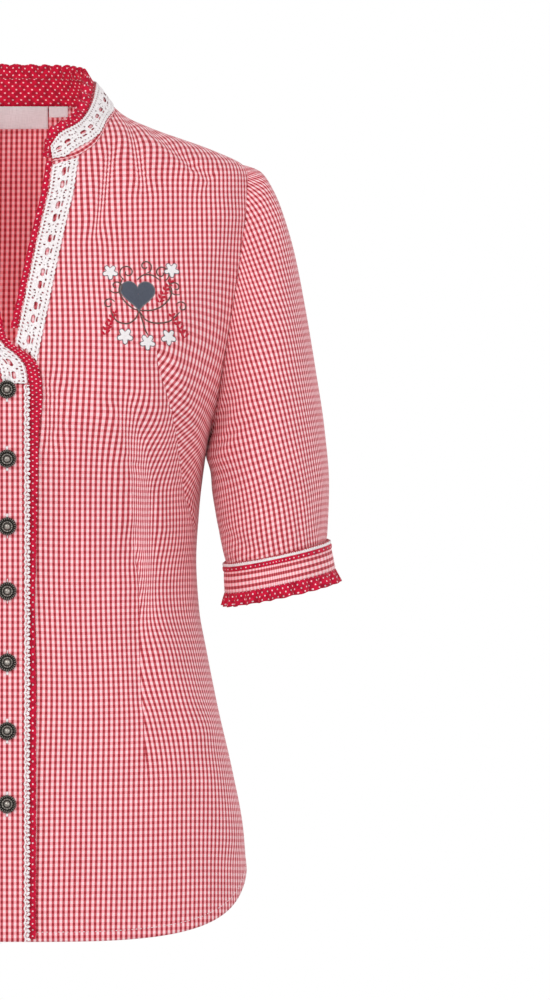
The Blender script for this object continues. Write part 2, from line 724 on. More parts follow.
def fine_front(u, v):
    """(theta, height) of the left front with its columns along both darts."""
    shares = [np.interp(v, *line) for line in FRONT_LINES]
    return front_sheet(spread(u, (WAIST_GUIDE, BUST_GUIDE), shares), v)


def fine_back(u, v):
    """(theta, height) of the back with its columns along both darts. u runs from -1 to 1."""
    shares = [np.interp(v, *line) for line in BACK_LINES]
    across = spread(np.abs(u), (BACK_GUIDE,), shares)
    return back_sheet(np.where(u < 0, -across, across), v)


def dart_take(height, dart, most, widest):
    """How much cloth a dart takes in at a height: most at its widest, nothing at its ends."""
    top, foot = dart[0].height * MM, dart[-1].height * MM
    return most * smoothstep(top, widest, height) * smoothstep(foot, widest, height)


def bust_turned(s, t, right):
    """The flat cut beside the bust dart, turned about its point by more the closer it is to the dart."""
    point = BUST_DART[0]
    level = np.array(point.height * MM)
    s0 = around(theta_at(np.array(point.side * MM), level), level)
    t0 = drop(level, FRONT_PROFILE)
    bearing = np.arctan2(s - s0, t - t0)
    turn = BUST_TURN * smoothstep(BUST_TURN_FROM, BUST_TURN_TO, np.where(right, bearing, 0))
    x, y = s - s0, t - t0
    return s0 + x * np.cos(turn) - y * np.sin(turn), t0 + x * np.sin(turn) + y * np.cos(turn)


FRONT_PROFILE, BACK_PROFILE = 0.5, 2.6

# The fullness below the bust that soft folds swallow before the waist dart takes it: how much cloth,
# the folds' spread, how far a narrow crease draws it in millimetres, and the line of the folds
FULLNESS, FULL_SPREAD = 19.0 * MM, 8.0 * MM
CREASE_REACH = 13.0
FULL_LINE = named(
    DartPoint,
    (82, -222), (93, -265), (98, -283), (101, -345),
)


def soft_waves(s, t):
    """How hanging cloth draws its threads slightly out of line."""
    across = 1.3 * np.sin(t / 0.047 + 1.2 * np.sin(s / 0.09)) + 0.3 * np.sin(t / 0.021 + s / 0.06)
    down = 1.0 * np.sin(s / 0.040 + 1.1 * np.sin(t / 0.09)) + 0.25 * np.sin(s / 0.016 + t / 0.06)
    return s + across * MM, t + down * MM


def crease_take(side, height):
    """The cloth that narrow creases swallow, as a shift of the cut on either side of them."""
    shift = np.zeros(np.shape(side))
    for fold in FRONT_FOLDS:
        if fold.spread > 6 or fold.rise > 0:
            continue
        x, z = side / MM - fold.from_side, height / MM - fold.from_height
        long_x, long_z = fold.to_side - fold.from_side, fold.to_height - fold.from_height
        long = math.hypot(long_x, long_z)
        share = (x * long_x + z * long_z) / long**2
        across = (x * -long_z + z * long_x) / long
        inside = smoothstep(-0.12, 0.2, share) * smoothstep(1.12, 0.8, share)
        inside = inside * np.exp(-((across / CREASE_REACH) ** 2))
        shift = shift - 1.3 * fold.rise * MM * inside * np.tanh(across / fold.spread * 1.4)
    return shift


def front_flat(u, v, centre_u, centre_v):
    """The flat cut of a front, in metres."""
    theta, height = fine_front(u, v)
    s, t = around(theta, height), drop(height, FRONT_PROFILE)
    side = section_at(height)[0] * np.sin(theta)
    middle = np.interp(height, column(FULL_LINE, "height")[::-1], column(FULL_LINE, "side")[::-1])
    full = smoothstep(-225 * MM, -298 * MM, height) * smoothstep(-425 * MM, -345 * MM, height)
    full = full * smoothstep(middle - FULL_SPREAD, middle + FULL_SPREAD, side)
    s = s + FULLNESS * full + crease_take(side, height)
    waist = dart_take(height, WAIST_DART, WAIST_TAKE, -400 * MM)
    s = s + np.where(centre_u > WAIST_GUIDE, waist, 0)
    above = height > BUST_DART[-1].height * MM
    s, t = bust_turned(s, t, ((centre_u > BUST_GUIDE) | (height > BUST_DART[0].height * MM)) & above)
    yoke = (centre_v * FRONT_CELLS[1] < YOKE_ROWS) & (centre_u > YOKE_FROM)
    s, t = soft_waves(s, t)
    cosine, sine = math.cos(YOKE_TURN), math.sin(YOKE_TURN)
    return np.where(yoke, s * cosine + t * sine, s), np.where(yoke, t * cosine - s * sine, t)


def back_flat(u, v, centre_u, centre_v):
    """The flat cut of the back, in metres."""
    theta, height = fine_back(2 * u - 1, v)
    side = 2 * centre_u - 1
    s, t = around(theta, height, math.pi), drop(height, BACK_PROFILE)
    take = dart_take(height, BACK_DART, BACK_TAKE, -348 * MM)
    # Theta falls from the centre back towards the wearer's left
    return soft_waves(s - np.where(np.abs(side) > BACK_GUIDE, take * np.sign(side), 0), t)


def seam_pucker(side, height, dart):
    """The groove of a dart's seam and the small puckers beside it."""
    lows, sides = column(dart, "height")[::-1], column(dart, "side")[::-1]
    away = np.abs(side) - np.interp(height, lows, sides)
    inside = smoothstep(lows[0] - 8 * MM, lows[0] + 12 * MM, height)
    inside = inside * smoothstep(lows[-1] + 8 * MM, lows[-1] - 12 * MM, height)
    ripple = 0.22 * MM * np.sin(height / (1.35 * MM) + 1.7 * np.sin(height / (7 * MM)))
    groove = -0.55 * MM * np.exp(-((away / (1.1 * MM)) ** 2))
    return inside * (groove + ripple * np.exp(-((away / (6 * MM)) ** 2)))


def hem_lift(theta, height):
    """The turned hem's thickness above its stitching, with the small waves that the stitching draws."""
    side = section_at(HEM_SIDE)[0] * np.sin(theta)
    above = height - hem_height(side)
    turned = smoothstep(HEM_TURN + 0.6 * MM, HEM_TURN - 0.6 * MM, above)
    ripple = 0.18 * MM * np.sin(side / (1.5 * MM) + 2.0 * np.sin(side / (9 * MM)))
    return HEM_RISE * turned + ripple * np.exp(-(((above - HEM_TURN) / (6 * MM)) ** 2))


def front_place(mirrored):
    """Points of a front's outer face."""

    def place(u, v, out):
        theta, height = fine_front(u, v)
        side = oval(theta, height)[..., 0]
        rise = seam_pucker(side, height, WAIST_DART) + seam_pucker(side, height, BUST_DART)
        rise = rise + hem_lift(theta, height) + out
        if mirrored:
            return body(-theta, height, rise + lift(-side, height))
        return body(theta, height, rise)

    return place


def back_place(u, v, out):
    """Points of the back's outer face."""
    theta, height = fine_back(2 * u - 1, v)
    side = oval(theta, height)[..., 0]
    return body(theta, height, out + seam_pucker(side, height, BACK_DART) + hem_lift(theta, height))


def sleeve_table():
    """The flat cut of the sleeve on a grid of turns and rows: round it from the outer line, and down,
    measured along the outer line, as its cloth's threads run."""
    shares, rows = np.linspace(0, 1, 193), np.linspace(0, 1, 81)
    u, v = np.meshgrid(shares, rows, indexing="ij")
    points = plain_sleeve(sleeve_turn(u), v**SLEEVE_CROWD)
    # The outer line is followed evenly, without its small bends, and straight on from the elbow
    line = points[0][:, [0, 2]]
    run = np.concatenate([[0], np.cumsum(np.linalg.norm(np.diff(line, axis=0), axis=1))])
    bends = np.polyfit(run[run < SLEEVE_STRAIGHT * run[-1]], line[run < SLEEVE_STRAIGHT * run[-1]], 3)
    run = np.linspace(0, run[-1] * 1.15, 460)
    line = np.stack([np.polyval(bends[:, k], run) for k in (0, 1)], axis=1)
    first, last = int(SLEEVE_BEND * 400), int(SLEEVE_STRAIGHT * 400)
    steps = line[first] - line[first + 1], line[last] - line[last - 1]
    line[:first] = line[first] + steps[0] * np.arange(first, 0, -1)[:, None]
    line[last:] = line[last] + steps[1] * np.arange(len(run) - last)[:, None]
    spots = points[..., [0, 2]].reshape(-1, 2)
    nearest = np.array([np.argmin(((line - spot) ** 2).sum(axis=1)) for spot in spots])
    ahead = unit(np.gradient(line, axis=0))[nearest]
    away = spots - line[nearest]
    down = (run[nearest] + (away * ahead).sum(axis=1)).reshape(u.shape)
    inward = (away[:, 1] * ahead[:, 0] - away[:, 0] * ahead[:, 1]).reshape(u.shape)
    inward = -inward if inward.mean() < 0 else inward
    # Half the width and depth of the sleeve's section, row by row, as below its cap all the way up
    half, least = np.ptp(inward, axis=0) / 2, inward.min(axis=0)
    least = np.where(rows > SLEEVE_CAP, least - np.interp(SLEEVE_CAP, rows, least), 0)
    deep = np.ptp(points[..., 1], axis=0) / 2
    middle = (points[..., 1].max(axis=0) + points[..., 1].min(axis=0)) / 2
    below = np.maximum(rows, SLEEVE_CAP)
    half, deep, middle = (np.interp(below, rows, size) for size in (half, deep, middle))
    depth = deep * (CAP_DEPTH + (1 - CAP_DEPTH) * smoothstep(0, 120 * MM, down))
    turn = np.arctan2((middle - points[..., 1]) / depth, (half + least - inward) / half)
    # Behind the seam under the arm the angle is counted backwards
    turn = np.where((turn < 0) & (u < SLEEVE_INSEAM) & (np.abs(turn) > 2), turn + 2 * math.pi, turn)
    turn = np.where((turn > 0) & (u > SLEEVE_INSEAM) & (turn > 2), turn - 2 * math.pi, turn)
    part = turn[..., None] * (np.arange(60) + 0.5) / 60
    speed = np.hypot(half[:, None] * np.sin(part), deep[:, None] * np.cos(part)).mean(axis=-1)
    # Below the cap the threads run out towards the elbow
    lean = 24 * MM * smoothstep(60 * MM, 240 * MM, down) - 6 * MM * smoothstep(240 * MM, 330 * MM, down)
    return speed * turn + least * np.tanh(3 * turn) + lean * np.tanh(1.5 * turn), down


def from_table(table, u, v):
    """The value of a table over the unit square, evened between its four nearest rows and columns."""
    x, y = u * (table.shape[0] - 1), v * (table.shape[1] - 1)
    i = np.clip(x.astype(int), 0, table.shape[0] - 2)
    j = np.clip(y.astype(int), 0, table.shape[1] - 2)
    a, b = x - i, y - j
    low = table[i, j] * (1 - b) + table[i, j + 1] * b
    return low * (1 - a) + (table[i + 1, j] * (1 - b) + table[i + 1, j + 1] * b) * a


SLEEVE_ROUND, SLEEVE_DOWN = sleeve_table()


def sleeve_flat(u, v, centre_u, centre_v):
    """The flat cut of a sleeve, in metres, open along the seam under the arm."""
    shy = np.where(centre_u > SLEEVE_INSEAM, 1, -1) * 1e-3
    u = np.where(np.abs(u - SLEEVE_INSEAM) < 1e-3, SLEEVE_INSEAM + shy, u)
    return soft_waves(from_table(SLEEVE_ROUND, u, v), from_table(SLEEVE_DOWN, u, v))


def sleeve_place(is_left):
    """Points of a sleeve's outer face, with the small folds where it is set in and at the cuff."""

    def place(u, v, out):
        turn = sleeve_turn(u)
        ripple = np.sin(turn * 23 + 2 * np.sin(turn * 5)) * 0.35 * MM
        cap = smoothstep(0.16, 0.03, v) * smoothstep(0.0, 0.03, v)
        cuff = smoothstep(0.86, 0.97, v) * smoothstep(1.0, 0.985, v)
        tuck = smoothstep(SLEEVE_TUCK, 0.0, v)
        level = out + ripple * (cap * 0.8 + cuff) - 0.55 * MM * tuck
        points = sleeve(turn, np.clip(v, 0, 1) ** SLEEVE_CROWD, level)
        ahead = sleeve(turn, (0.03 + 0 * v) ** SLEEVE_CROWD, level) - sleeve(turn, 0 * v, level)
        points = points - unit(ahead) * (1.5 * MM * tuck)[..., None]
        # The cloth falls a little towards the body just below the arm
        near = np.exp(-(((u - SLEEVE_INSEAM) / 0.10) ** 2 + ((points[..., 2] + 263 * MM) / (13 * MM)) ** 2))
        points[..., 0] = points[..., 0] - 4.2 * MM * near
        return mirror_points(points, is_left)

    return place


def cloth(name, cells, size, place, flat, material, **options):
    """A sheet of cloth on a fine grid. place(u, v, out) gives its points, and flat its cut as a UV map;
    u runs across it and v down it, from 0 to 1, and trim may cut the flat grid before it is placed."""
    across, down = cells
    width, length = size
    bm = bmesh.new()
    bmesh.ops.create_grid(bm, x_segments=across, y_segments=down, size=0.5)
    bmesh.ops.scale(bm, vec=(width, length, 1), verts=bm.verts[:])
    if options.get("trim"):
        options["trim"](bm, width, length)
    if not faces_out(place):
        bmesh.ops.reverse_faces(bm, faces=bm.faces[:])
    mesh = mesh_from(bm, name)
    spots = np.empty(len(mesh.vertices) * 3)
    mesh.vertices.foreach_get("co", spots)
    spots = spots.reshape(-1, 3)
    u, v = spots[:, 0] / width + 0.5, 0.5 - spots[:, 1] / length
    points = place(u, v, np.zeros_like(u))
    mesh.vertices.foreach_set("co", points.ravel())
    corner = np.empty(len(mesh.loops), dtype=np.int32)
    mesh.loops.foreach_get("vertex_index", corner)
    centres = [np.repeat(values[corner].reshape(-1, 4).mean(axis=1), 4) for values in (u, v)]
    cut = np.stack(flat(u[corner], v[corner], *centres), axis=1)
    mesh.uv_layers.new(name="cut").data.foreach_set("uv", cut.ravel())
    if options.get("tone") is not None:
        tone = mesh.attributes.new("tone", "FLOAT", "POINT")
        tone.data.foreach_set("value", options["tone"](u, v).astype(np.float32))
    if options.get("closed"):
        bm = bmesh.new()
        bm.from_mesh(mesh)
        bmesh.ops.remove_doubles(bm, verts=bm.verts[:], dist=1e-6)
        bm.to_mesh(mesh)
        bm.free()
    return thicken(finish_mesh(name, mesh, material), options.get("thick", CLOTH))


def faces_out(place):
    """Whether a grid's faces, once placed, point the way that `out` goes."""
    u, v = (axis.ravel() for axis in np.meshgrid(np.linspace(0.15, 0.85, 6), np.linspace(0.15, 0.85, 6)))
    step, none = 1e-3, np.zeros(36)
    along = place(u + step, v, none) - place(u - step, v, none)
    up = place(u, v - step, none) - place(u, v + step, none)
    outward = place(u, v, none + MM) - place(u, v, none)
    return float(np.sum(np.cross(along, up) * outward)) > 0


def mesh_from(bm, name):
    """The mesh of a finished bmesh."""
    mesh = bpy.data.meshes.new(name)
    bm.to_mesh(mesh)
    bm.free()
    return mesh


def finish_mesh(name, mesh, material):
    """An object at the origin with a smooth mesh and its material."""
    mesh.materials.append(material)
    mesh.shade_smooth()
    made = bpy.data.objects.new(name, mesh)
    bpy.context.scene.collection.objects.link(made)
    return made


def thicken(piece, thickness):
    """Gives a sheet its wall, inwards from its outer face."""
    if thickness:
        wall = piece.modifiers.new("wall", "SOLIDIFY")
        wall.thickness = thickness
        wall.offset = -1
        wall.use_even_offset = False
    return piece


def wear(piece, slot, *nodes):
    """The piece goes with the garment, takes its finish from a slot, and stands for solids."""
    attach(piece, "root")
    if nodes:
        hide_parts(*nodes)
    return piece


SIDES = (("left", True), ("right", False))
SLOTS = {
    "checked": "checked_cotton",
    "checked_trim": "checked_cotton_trim",
    "dotted": "dotted_cotton",
    "lace": "cotton_lace",
    "label": "woven_label",
}


def sew(name, node, finish, cells, size, place, flat, held, on, fill=1.0, **options):
    """A sheet of cloth that stands for a solid: its mesh and finish, and how it is held and on what."""
    piece = cloth(name, cells, size, place, flat, MATERIALS[finish], **options)
    wear(piece, SLOTS[finish], node)


# Colours of the cloths as linear red, green and blue
RED_ON_RED = (0.36, 0.021, 0.032)
RED_WARP = (0.61, 0.100, 0.125)
RED_WEFT = (0.97, 0.37, 0.41)
WHITE_ON_WHITE = (1.0, 0.70, 0.73)
DOT_RED = (0.57, 0.003, 0.037)
DOT_WHITE = (0.93, 0.70, 0.75)
LACE_WHITE = (0.98, 0.95, 0.955)
LACE_SHADE = (0.78, 0.70, 0.71)
CHECK_WARP, CHECK_WEFT = 4.07 * MM, 4.77 * MM
DOT_ACROSS, DOT_DOWN, DOT_RADIUS = 5.5 * MM, 6.3 * MM, 0.64 * MM


def add(tree, kind, feeds=None, **settings):
    """A node with its settings and with what feeds its sockets: another socket or a value."""
    made = tree.nodes.new(kind)
    for name, value in settings.items():
        setattr(made, name, value)
    for socket, source in (feeds or {}).items():
        if isinstance(source, bpy.types.NodeSocket):
            tree.links.new(source, made.inputs[socket])
        else:
            made.inputs[socket].default_value = source
    return made


def sum_up(tree, operation, *sources):
    """The result of a Math node."""
    return add(tree, "ShaderNodeMath", dict(enumerate(sources)), operation=operation).outputs[0]


def ramp(tree, value, low, high, start=0.0, end=1.0):
    """An even rise from start to end as a value goes from low to high."""
    feeds = {"Value": value, "From Min": low, "From Max": high, "To Min": start, "To Max": end}
    made = add(tree, "ShaderNodeMapRange", feeds, interpolation_type="SMOOTHSTEP")
    return made.outputs["Result"]


def blend(tree, share, first, second):
    """A colour between two others."""
    made = add(tree, "ShaderNodeMix", data_type="RGBA")
    sockets = {"Factor_Float": share, "A_Color": first, "B_Color": second}
    for socket in made.inputs:
        if socket.identifier in sockets:
            source = sockets[socket.identifier]
            if isinstance(source, bpy.types.NodeSocket):
                tree.links.new(source, socket)
            else:
                socket.default_value = (*source, 1) if isinstance(source, tuple) else source
    return next(s for s in made.outputs if s.identifier == "Result_Color")


def group(name, inputs, outputs):
    """An empty node group with its sockets."""
    tree = bpy.data.node_groups.new(name, "ShaderNodeTree")
    for socket, kind in inputs:
        tree.interface.new_socket(socket, in_out="INPUT", socket_type=kind)
    for socket, kind in outputs:
        tree.interface.new_socket(socket, in_out="OUTPUT", socket_type=kind)
    return tree, tree.nodes.new("NodeGroupInput"), tree.nodes.new("NodeGroupOutput")


def thread_group():
    """Plain weave: the height of its threads, and the uneven tone of the yarn."""
    kinds = (("Place", "NodeSocketVector"), ("Pitch", "NodeSocketFloat"))
    given = (("Height", "NodeSocketFloat"), ("Tone", "NodeSocketFloat"))
    tree, start, end = group("plain_weave", kinds, given)
    parts = add(tree, "ShaderNodeSeparateXYZ", {0: start.outputs["Place"]})
    waves = []
    for axis in ("X", "Y"):
        turns = sum_up(tree, "DIVIDE", parts.outputs[axis], start.outputs["Pitch"])
        waves.append(sum_up(tree, "SINE", sum_up(tree, "MULTIPLY", turns, 2 * math.pi)))
    over = sum_up(tree, "MULTIPLY", waves[0], waves[1])
    tree.links.new(sum_up(tree, "MULTIPLY_ADD", over, 0.5, 0.5), end.inputs["Height"])
    tones = []
    for stretch in ((2600, 160, 1), (160, 2600, 1)):
        feeds = {0: start.outputs["Place"], 1: stretch}
        drawn = add(tree, "ShaderNodeVectorMath", feeds, operation="MULTIPLY")
        noise = add(tree, "ShaderNodeTexNoise", {"Vector": drawn.outputs[0], "Scale": 1.0, "Detail": 1.0})
        tones.append(noise.outputs["Fac"])
    wide = add(tree, "ShaderNodeTexNoise", {"Vector": start.outputs["Place"], "Scale": 45.0, "Detail": 3.0})
    both = sum_up(tree, "ADD", *tones)
    tree.links.new(sum_up(tree, "MULTIPLY_ADD", wide.outputs["Fac"], 0.5, both), end.inputs["Tone"])
    return tree


def check_group():
    """Yarn-dyed gingham: strong red stripes one way, weaker ones the other, darkest where both cross."""
    kinds = (
        ("Place", "NodeSocketVector"),
        ("Warp repeat", "NodeSocketFloat"),
        ("Weft repeat", "NodeSocketFloat"),
    )
    tree, start, end = group("gingham", kinds, (("Colour", "NodeSocketColor"),))
    parts = add(tree, "ShaderNodeSeparateXYZ", {0: start.outputs["Place"]})
    masks = []
    for axis, size, soft in (("X", "Warp repeat", 0.16), ("Y", "Weft repeat", 0.2)):
        turns = sum_up(tree, "DIVIDE", parts.outputs[axis], start.outputs[size])
        share = sum_up(tree, "FRACT", turns)
        fold = sum_up(tree, "ABSOLUTE", sum_up(tree, "MULTIPLY_ADD", share, 2.0, -1.0))
        masks.append(ramp(tree, fold, 0.5 - soft, 0.5 + soft))
    on_white = blend(tree, masks[1], WHITE_ON_WHITE, RED_WEFT)
    on_red = blend(tree, masks[1], RED_WARP, RED_ON_RED)
    tree.links.new(blend(tree, masks[0], on_white, on_red), end.inputs["Colour"])
    return tree


def dot_group():
    """Printed dots on red, row after row staggered by half a step."""
    place, colour = (("Place", "NodeSocketVector"),), (("Colour", "NodeSocketColor"),)
    tree, start, end = group("dotted_print", place, colour)
    masks = []
    for shift in (0.0, 0.5):
        feeds = {0: start.outputs["Place"], 1: (1 / DOT_ACROSS, 1 / DOT_DOWN, 0), 2: (shift, shift, 0)}
        turns = add(tree, "ShaderNodeVectorMath", feeds, operation="MULTIPLY_ADD").outputs[0]
        share = add(tree, "ShaderNodeVectorMath", {0: turns}, operation="FRACTION").outputs[0]
        feeds = {0: share, 1: (DOT_ACROSS, DOT_DOWN, 0), 2: (-DOT_ACROSS / 2, -DOT_DOWN / 2, 0)}
        away = add(tree, "ShaderNodeVectorMath", feeds, operation="MULTIPLY_ADD").outputs[0]
        flat = add(tree, "ShaderNodeVectorMath", {0: away, 1: (1, 1, 0)}, operation="MULTIPLY").outputs[0]
        length = add(tree, "ShaderNodeVectorMath", {0: flat}, operation="LENGTH").outputs["Value"]
        masks.append(ramp(tree, length, DOT_RADIUS * 1.2, DOT_RADIUS * 0.8))
    dots = sum_up(tree, "MAXIMUM", *masks)
    tree.links.new(blend(tree, dots, DOT_RED, DOT_WHITE), end.inputs["Colour"])
    return tree


def cloth_material(name, colour_from, pitch, bump, sheen=0.12):
    """A woven cloth: its colour, the yarn's uneven tone, and the weave's relief."""
    material = bpy.data.materials.new(name)
    material.use_nodes = True
    tree = material.node_tree
    shader = tree.nodes["Principled BSDF"]
    cut = add(tree, "ShaderNodeUVMap", uv_map="cut").outputs[0]
    weave = add(tree, "ShaderNodeGroup", node_tree=GROUPS["weave"])
    tree.links.new(cut, weave.inputs["Place"])
    weave.inputs["Pitch"].default_value = pitch
    colour = colour_from(tree, cut)
    tone = ramp(tree, weave.outputs["Tone"], 0.75, 1.75, 0.88, 1.10)
    shade = add(tree, "ShaderNodeVectorMath", {0: colour, 1: tone}, operation="MULTIPLY").outputs[0]
    tree.links.new(shade, shader.inputs["Base Color"])
    tree.links.new(ramp(tree, weave.outputs["Tone"], 0.7, 1.8, 0.92, 0.74), shader.inputs["Roughness"])
    feeds = {"Height": weave.outputs["Height"], "Strength": bump, "Distance": 0.08 * MM}
    tree.links.new(add(tree, "ShaderNodeBump", feeds).outputs[0], shader.inputs["Normal"])
    shader.inputs["Sheen Weight"].default_value = sheen
    shader.inputs["Sheen Roughness"].default_value = 0.45
    shader.inputs["Specular IOR Level"].default_value = 0.25
    return material


def checked_colour(warp, weft):
    """Feeds a cloth with the gingham at its own repeats."""

    def feed(tree, cut):
        made = add(tree, "ShaderNodeGroup", node_tree=GROUPS["check"])
        tree.links.new(cut, made.inputs["Place"])
        made.inputs["Warp repeat"].default_value = warp
        made.inputs["Weft repeat"].default_value = weft
        return made.outputs["Colour"]

    return feed


def dotted_colour(tree, cut):
    """Feeds a cloth with the dotted print, darker where the cloth crumples."""
    made = add(tree, "ShaderNodeGroup", node_tree=GROUPS["dots"])
    tree.links.new(cut, made.inputs["Place"])
    crumple = add(tree, "ShaderNodeTexNoise", {"Vector": cut, "Scale": 260.0, "Detail": 2.0})
    shade = ramp(tree, crumple.outputs["Fac"], 0.35, 0.6, 0.66, 1.1)
    feeds = {0: made.outputs["Colour"], 1: shade}
    return add(tree, "ShaderNodeVectorMath", feeds, operation="MULTIPLY").outputs[0]


def lace_colour(tree, cut):
    """Lace is white on its cords and a little shaded between them."""
    tone = add(tree, "ShaderNodeAttribute", attribute_name="tone").outputs["Fac"]
    stitches = add(tree, "ShaderNodeTexVoronoi", {"Vector": cut, "Scale": 900.0})
    hollow = ramp(tree, stitches.outputs["Distance"], 0.25, 0.75, 1.0, 0.35)
    lit = sum_up(tree, "MULTIPLY", ramp(tree, tone, -0.1, 0.25, 0.7, 1.0), hollow)
    return blend(tree, lit, LACE_SHADE, LACE_WHITE)


def plain_colour(colour):
    """Feeds a cloth with one dyed colour."""

    def feed(tree, cut):
        return blend(tree, 0.0, colour, colour)

    return feed


def metal_material():
    """Dark antique metal, worn bright where it stands highest."""
    material = bpy.data.materials.new("antique_metal")
    material.use_nodes = True
    tree = material.node_tree
    shader = tree.nodes["Principled BSDF"]
    worn = add(tree, "ShaderNodeAttribute", attribute_name="tone").outputs["Fac"]
    place = add(tree, "ShaderNodeTexCoord").outputs["Object"]
    noise = add(tree, "ShaderNodeTexNoise", {"Vector": place, "Scale": 900.0, "Detail": 4.0}).outputs["Fac"]
    share = sum_up(tree, "MULTIPLY", worn, ramp(tree, noise, 0.3, 0.65, 0.55, 1.1))
    colour = blend(tree, share, (0.012, 0.010, 0.009), (0.52, 0.48, 0.43))
    tree.links.new(colour, shader.inputs["Base Color"])
    tree.links.new(ramp(tree, noise, 0.2, 0.8, 0.28, 0.48), shader.inputs["Roughness"])
    shader.inputs["Metallic"].default_value = 0.9
    feeds = {"Height": noise, "Strength": 0.25, "Distance": 0.05 * MM}
    tree.links.new(add(tree, "ShaderNodeBump", feeds).outputs[0], shader.inputs["Normal"])
    return material


GROUPS = {"weave": thread_group(), "check": check_group(), "dots": dot_group()}
MATERIALS = {
    "checked": cloth_material("checked_cotton", checked_colour(CHECK_WARP, CHECK_WEFT), 0.36 * MM, 0.35),
    "checked_trim": cloth_material("checked_trim", checked_colour(CHECK_WEFT, CHECK_WARP), 0.36 * MM, 0.35),
    "dotted": cloth_material("dotted_cotton", dotted_colour, 0.3 * MM, 0.3),
    "lace": cloth_material("lace", lace_colour, 0.5 * MM, 0.6, 0.2),
    "metal": metal_material(),
    "label": cloth_material("woven_label", plain_colour((0.72, 0.79, 0.79)), 0.3 * MM, 0.5, 0.3),
    "thread": cloth_material("sewing_thread", plain_colour((0.90, 0.83, 0.84)), 0.4 * MM, 0.3),
}


# The open places in one repeat of the wide lace, in millimetres from the repeat's start and from the
# inner edge, with half their length and width
LaceHole = namedtuple("LaceHole", "along across half_length half_width")
SLOT_MIDDLE = (LACE_ROWS[1] + LACE_ROWS[2]) / 2
LACE_HOLES = named(
    LaceHole,
    (3.2, SLOT_MIDDLE, 3.1, 1.25), (13.4, SLOT_MIDDLE, 3.1, 1.25), (2.4, 12.9, 2.3, 0.5),
    (12.6, 12.9, 2, 0.5), (8.3, 6.4, 0.8, 0.6), (8.3, 13.4, 0.7, 0.5), (18.4, 6.2, 0.6, 0.8),
    (24.8, 6.2, 0.6, 0.8), (18.6, 13, 0.6, 0.7), (24.6, 13, 0.6, 0.7),
)
LACE_FLOWER = LaceHole(21.6, 9.7, 2.7, 0.55)
PICOT = 3.0
PICOT_DEPTH = 0.9
LACE_CELL = 0.55
LACE_LEVEL = 1.35 * MM
LACE_THICK = 0.55 * MM
LACE_FILL = 0.8


def lace_open(along, across):
    """Whether a place in the wide lace is open, from millimetres along and across it."""
    start = np.mod(along - LACE_LEAD, LACE_ENDS[-1])
    is_open = np.zeros(np.shape(along), dtype=bool)
    for hole in LACE_HOLES:
        x, y = (start - hole.along) / hole.half_length, (across - hole.across) / hole.half_width
        is_open |= x**4 + y**4 < 1
    x, y = start - LACE_FLOWER.along, across - LACE_FLOWER.across
    for petal in range(6):
        turn = math.pi / 3 * petal
        px, py = math.cos(turn) * LACE_FLOWER.half_length, math.sin(turn) * LACE_FLOWER.half_length
        is_open |= np.hypot(x - px, y - py) < LACE_FLOWER.half_width
    step = np.mod(along + PICOT / 2, PICOT) - PICOT / 2
    is_open |= (np.abs(across - 3.3) < 1.0) & (np.abs(step) < 0.42 * (4.3 - across))
    beside = np.mod(along, PICOT) - PICOT / 2
    is_open |= np.hypot(beside, across - 16.5) < 0.55
    inner = PICOT_DEPTH * (1 - np.abs(np.cos(math.pi * along / PICOT)))
    outer = LACE_WIDTH / MM - 0.7 * (1 - np.abs(np.cos(math.pi * along / (PICOT * 1.5))))
    return is_open | (across < inner) | (across > outer)


def lace_relief(along, across):
    """How far the crochet of the wide lace stands up, in millimetres."""
    start = np.mod(along - LACE_LEAD, LACE_ENDS[-1])
    cords = sum(np.exp(-(((across - row) / 0.5) ** 2)) for row in (1.6, 5.0, 7.6, 11.9, 14.7, 18.2))
    x, y = start - LACE_FLOWER.along, across - LACE_FLOWER.across
    bearing, away = np.arctan2(y, x), np.hypot(x, y)
    flower = (0.6 + 0.4 * np.cos(6 * bearing + math.pi)) * np.exp(-(((away - 3.0) / 2.0) ** 2))
    knots = 0.5 * np.sin(along * 2.3) * np.sin(across * 2.1) + 0.3 * np.sin(along * 5.1 + across * 3)
    slots = np.zeros(np.shape(along))
    for hole in LACE_HOLES[:2]:
        reach = np.hypot((start - hole.along) / (hole.half_length + 0.7), y / (hole.half_width + 0.7))
        slots = slots + np.exp(-(((reach - 1) / 0.22) ** 2))
    return 0.16 * cords + 0.34 * flower + 0.10 * knots + 0.20 * slots


def cut_lace(is_open):
    """Cuts a flat lace grid's open places out and rounds their edges."""

    def trim(bm, width, length):
        centres = [f.calc_center_median() for f in bm.faces]
        across = np.array([c.x for c in centres]) + width / 2
        along = length / 2 - np.array([c.y for c in centres])
        gone = is_open(along / MM, across / MM)
        faces = [f for f, away in zip(bm.faces[:], gone) if away]
        bmesh.ops.delete(bm, geom=faces, context="FACES")
        rim = [vert for vert in bm.verts if vert.is_boundary]
        bmesh.ops.smooth_vert(bm, verts=rim, factor=0.5, use_axis_x=True, use_axis_y=True)

    return trim


def flat_strip(width, length):
    """The cut of a straight strip: v runs along it and u across."""

    def flat(u, v, centre_u, centre_v):
        return u * width, -v * length

    return flat


def flat_turned(width, length):
    """The same with its grain turned a quarter."""

    def flat(u, v, centre_u, centre_v):
        return -v * length, u * width

    return flat


def wide_lace(name, node, length, put, on):
    """A strip of the wide lace. put(along, across, out) takes the share of its length and its inner
    edge's distance."""
    size = (LACE_WIDTH, length)

    def relief(u, v):
        return lace_relief(v * length / MM, u * LACE_WIDTH / MM)

    def place(u, v, out):
        return put(v, u * LACE_WIDTH, LACE_LEVEL + relief(u, v) * MM + out)

    cells = (round(LACE_WIDTH / MM / LACE_CELL), round(length / MM / LACE_CELL))
    options = {"trim": cut_lace(lace_open), "tone": relief, "thick": LACE_THICK}
    sew(name, node, "lace", cells, size, place, flat_strip(*size), "laid", [on], LACE_FILL, **options)


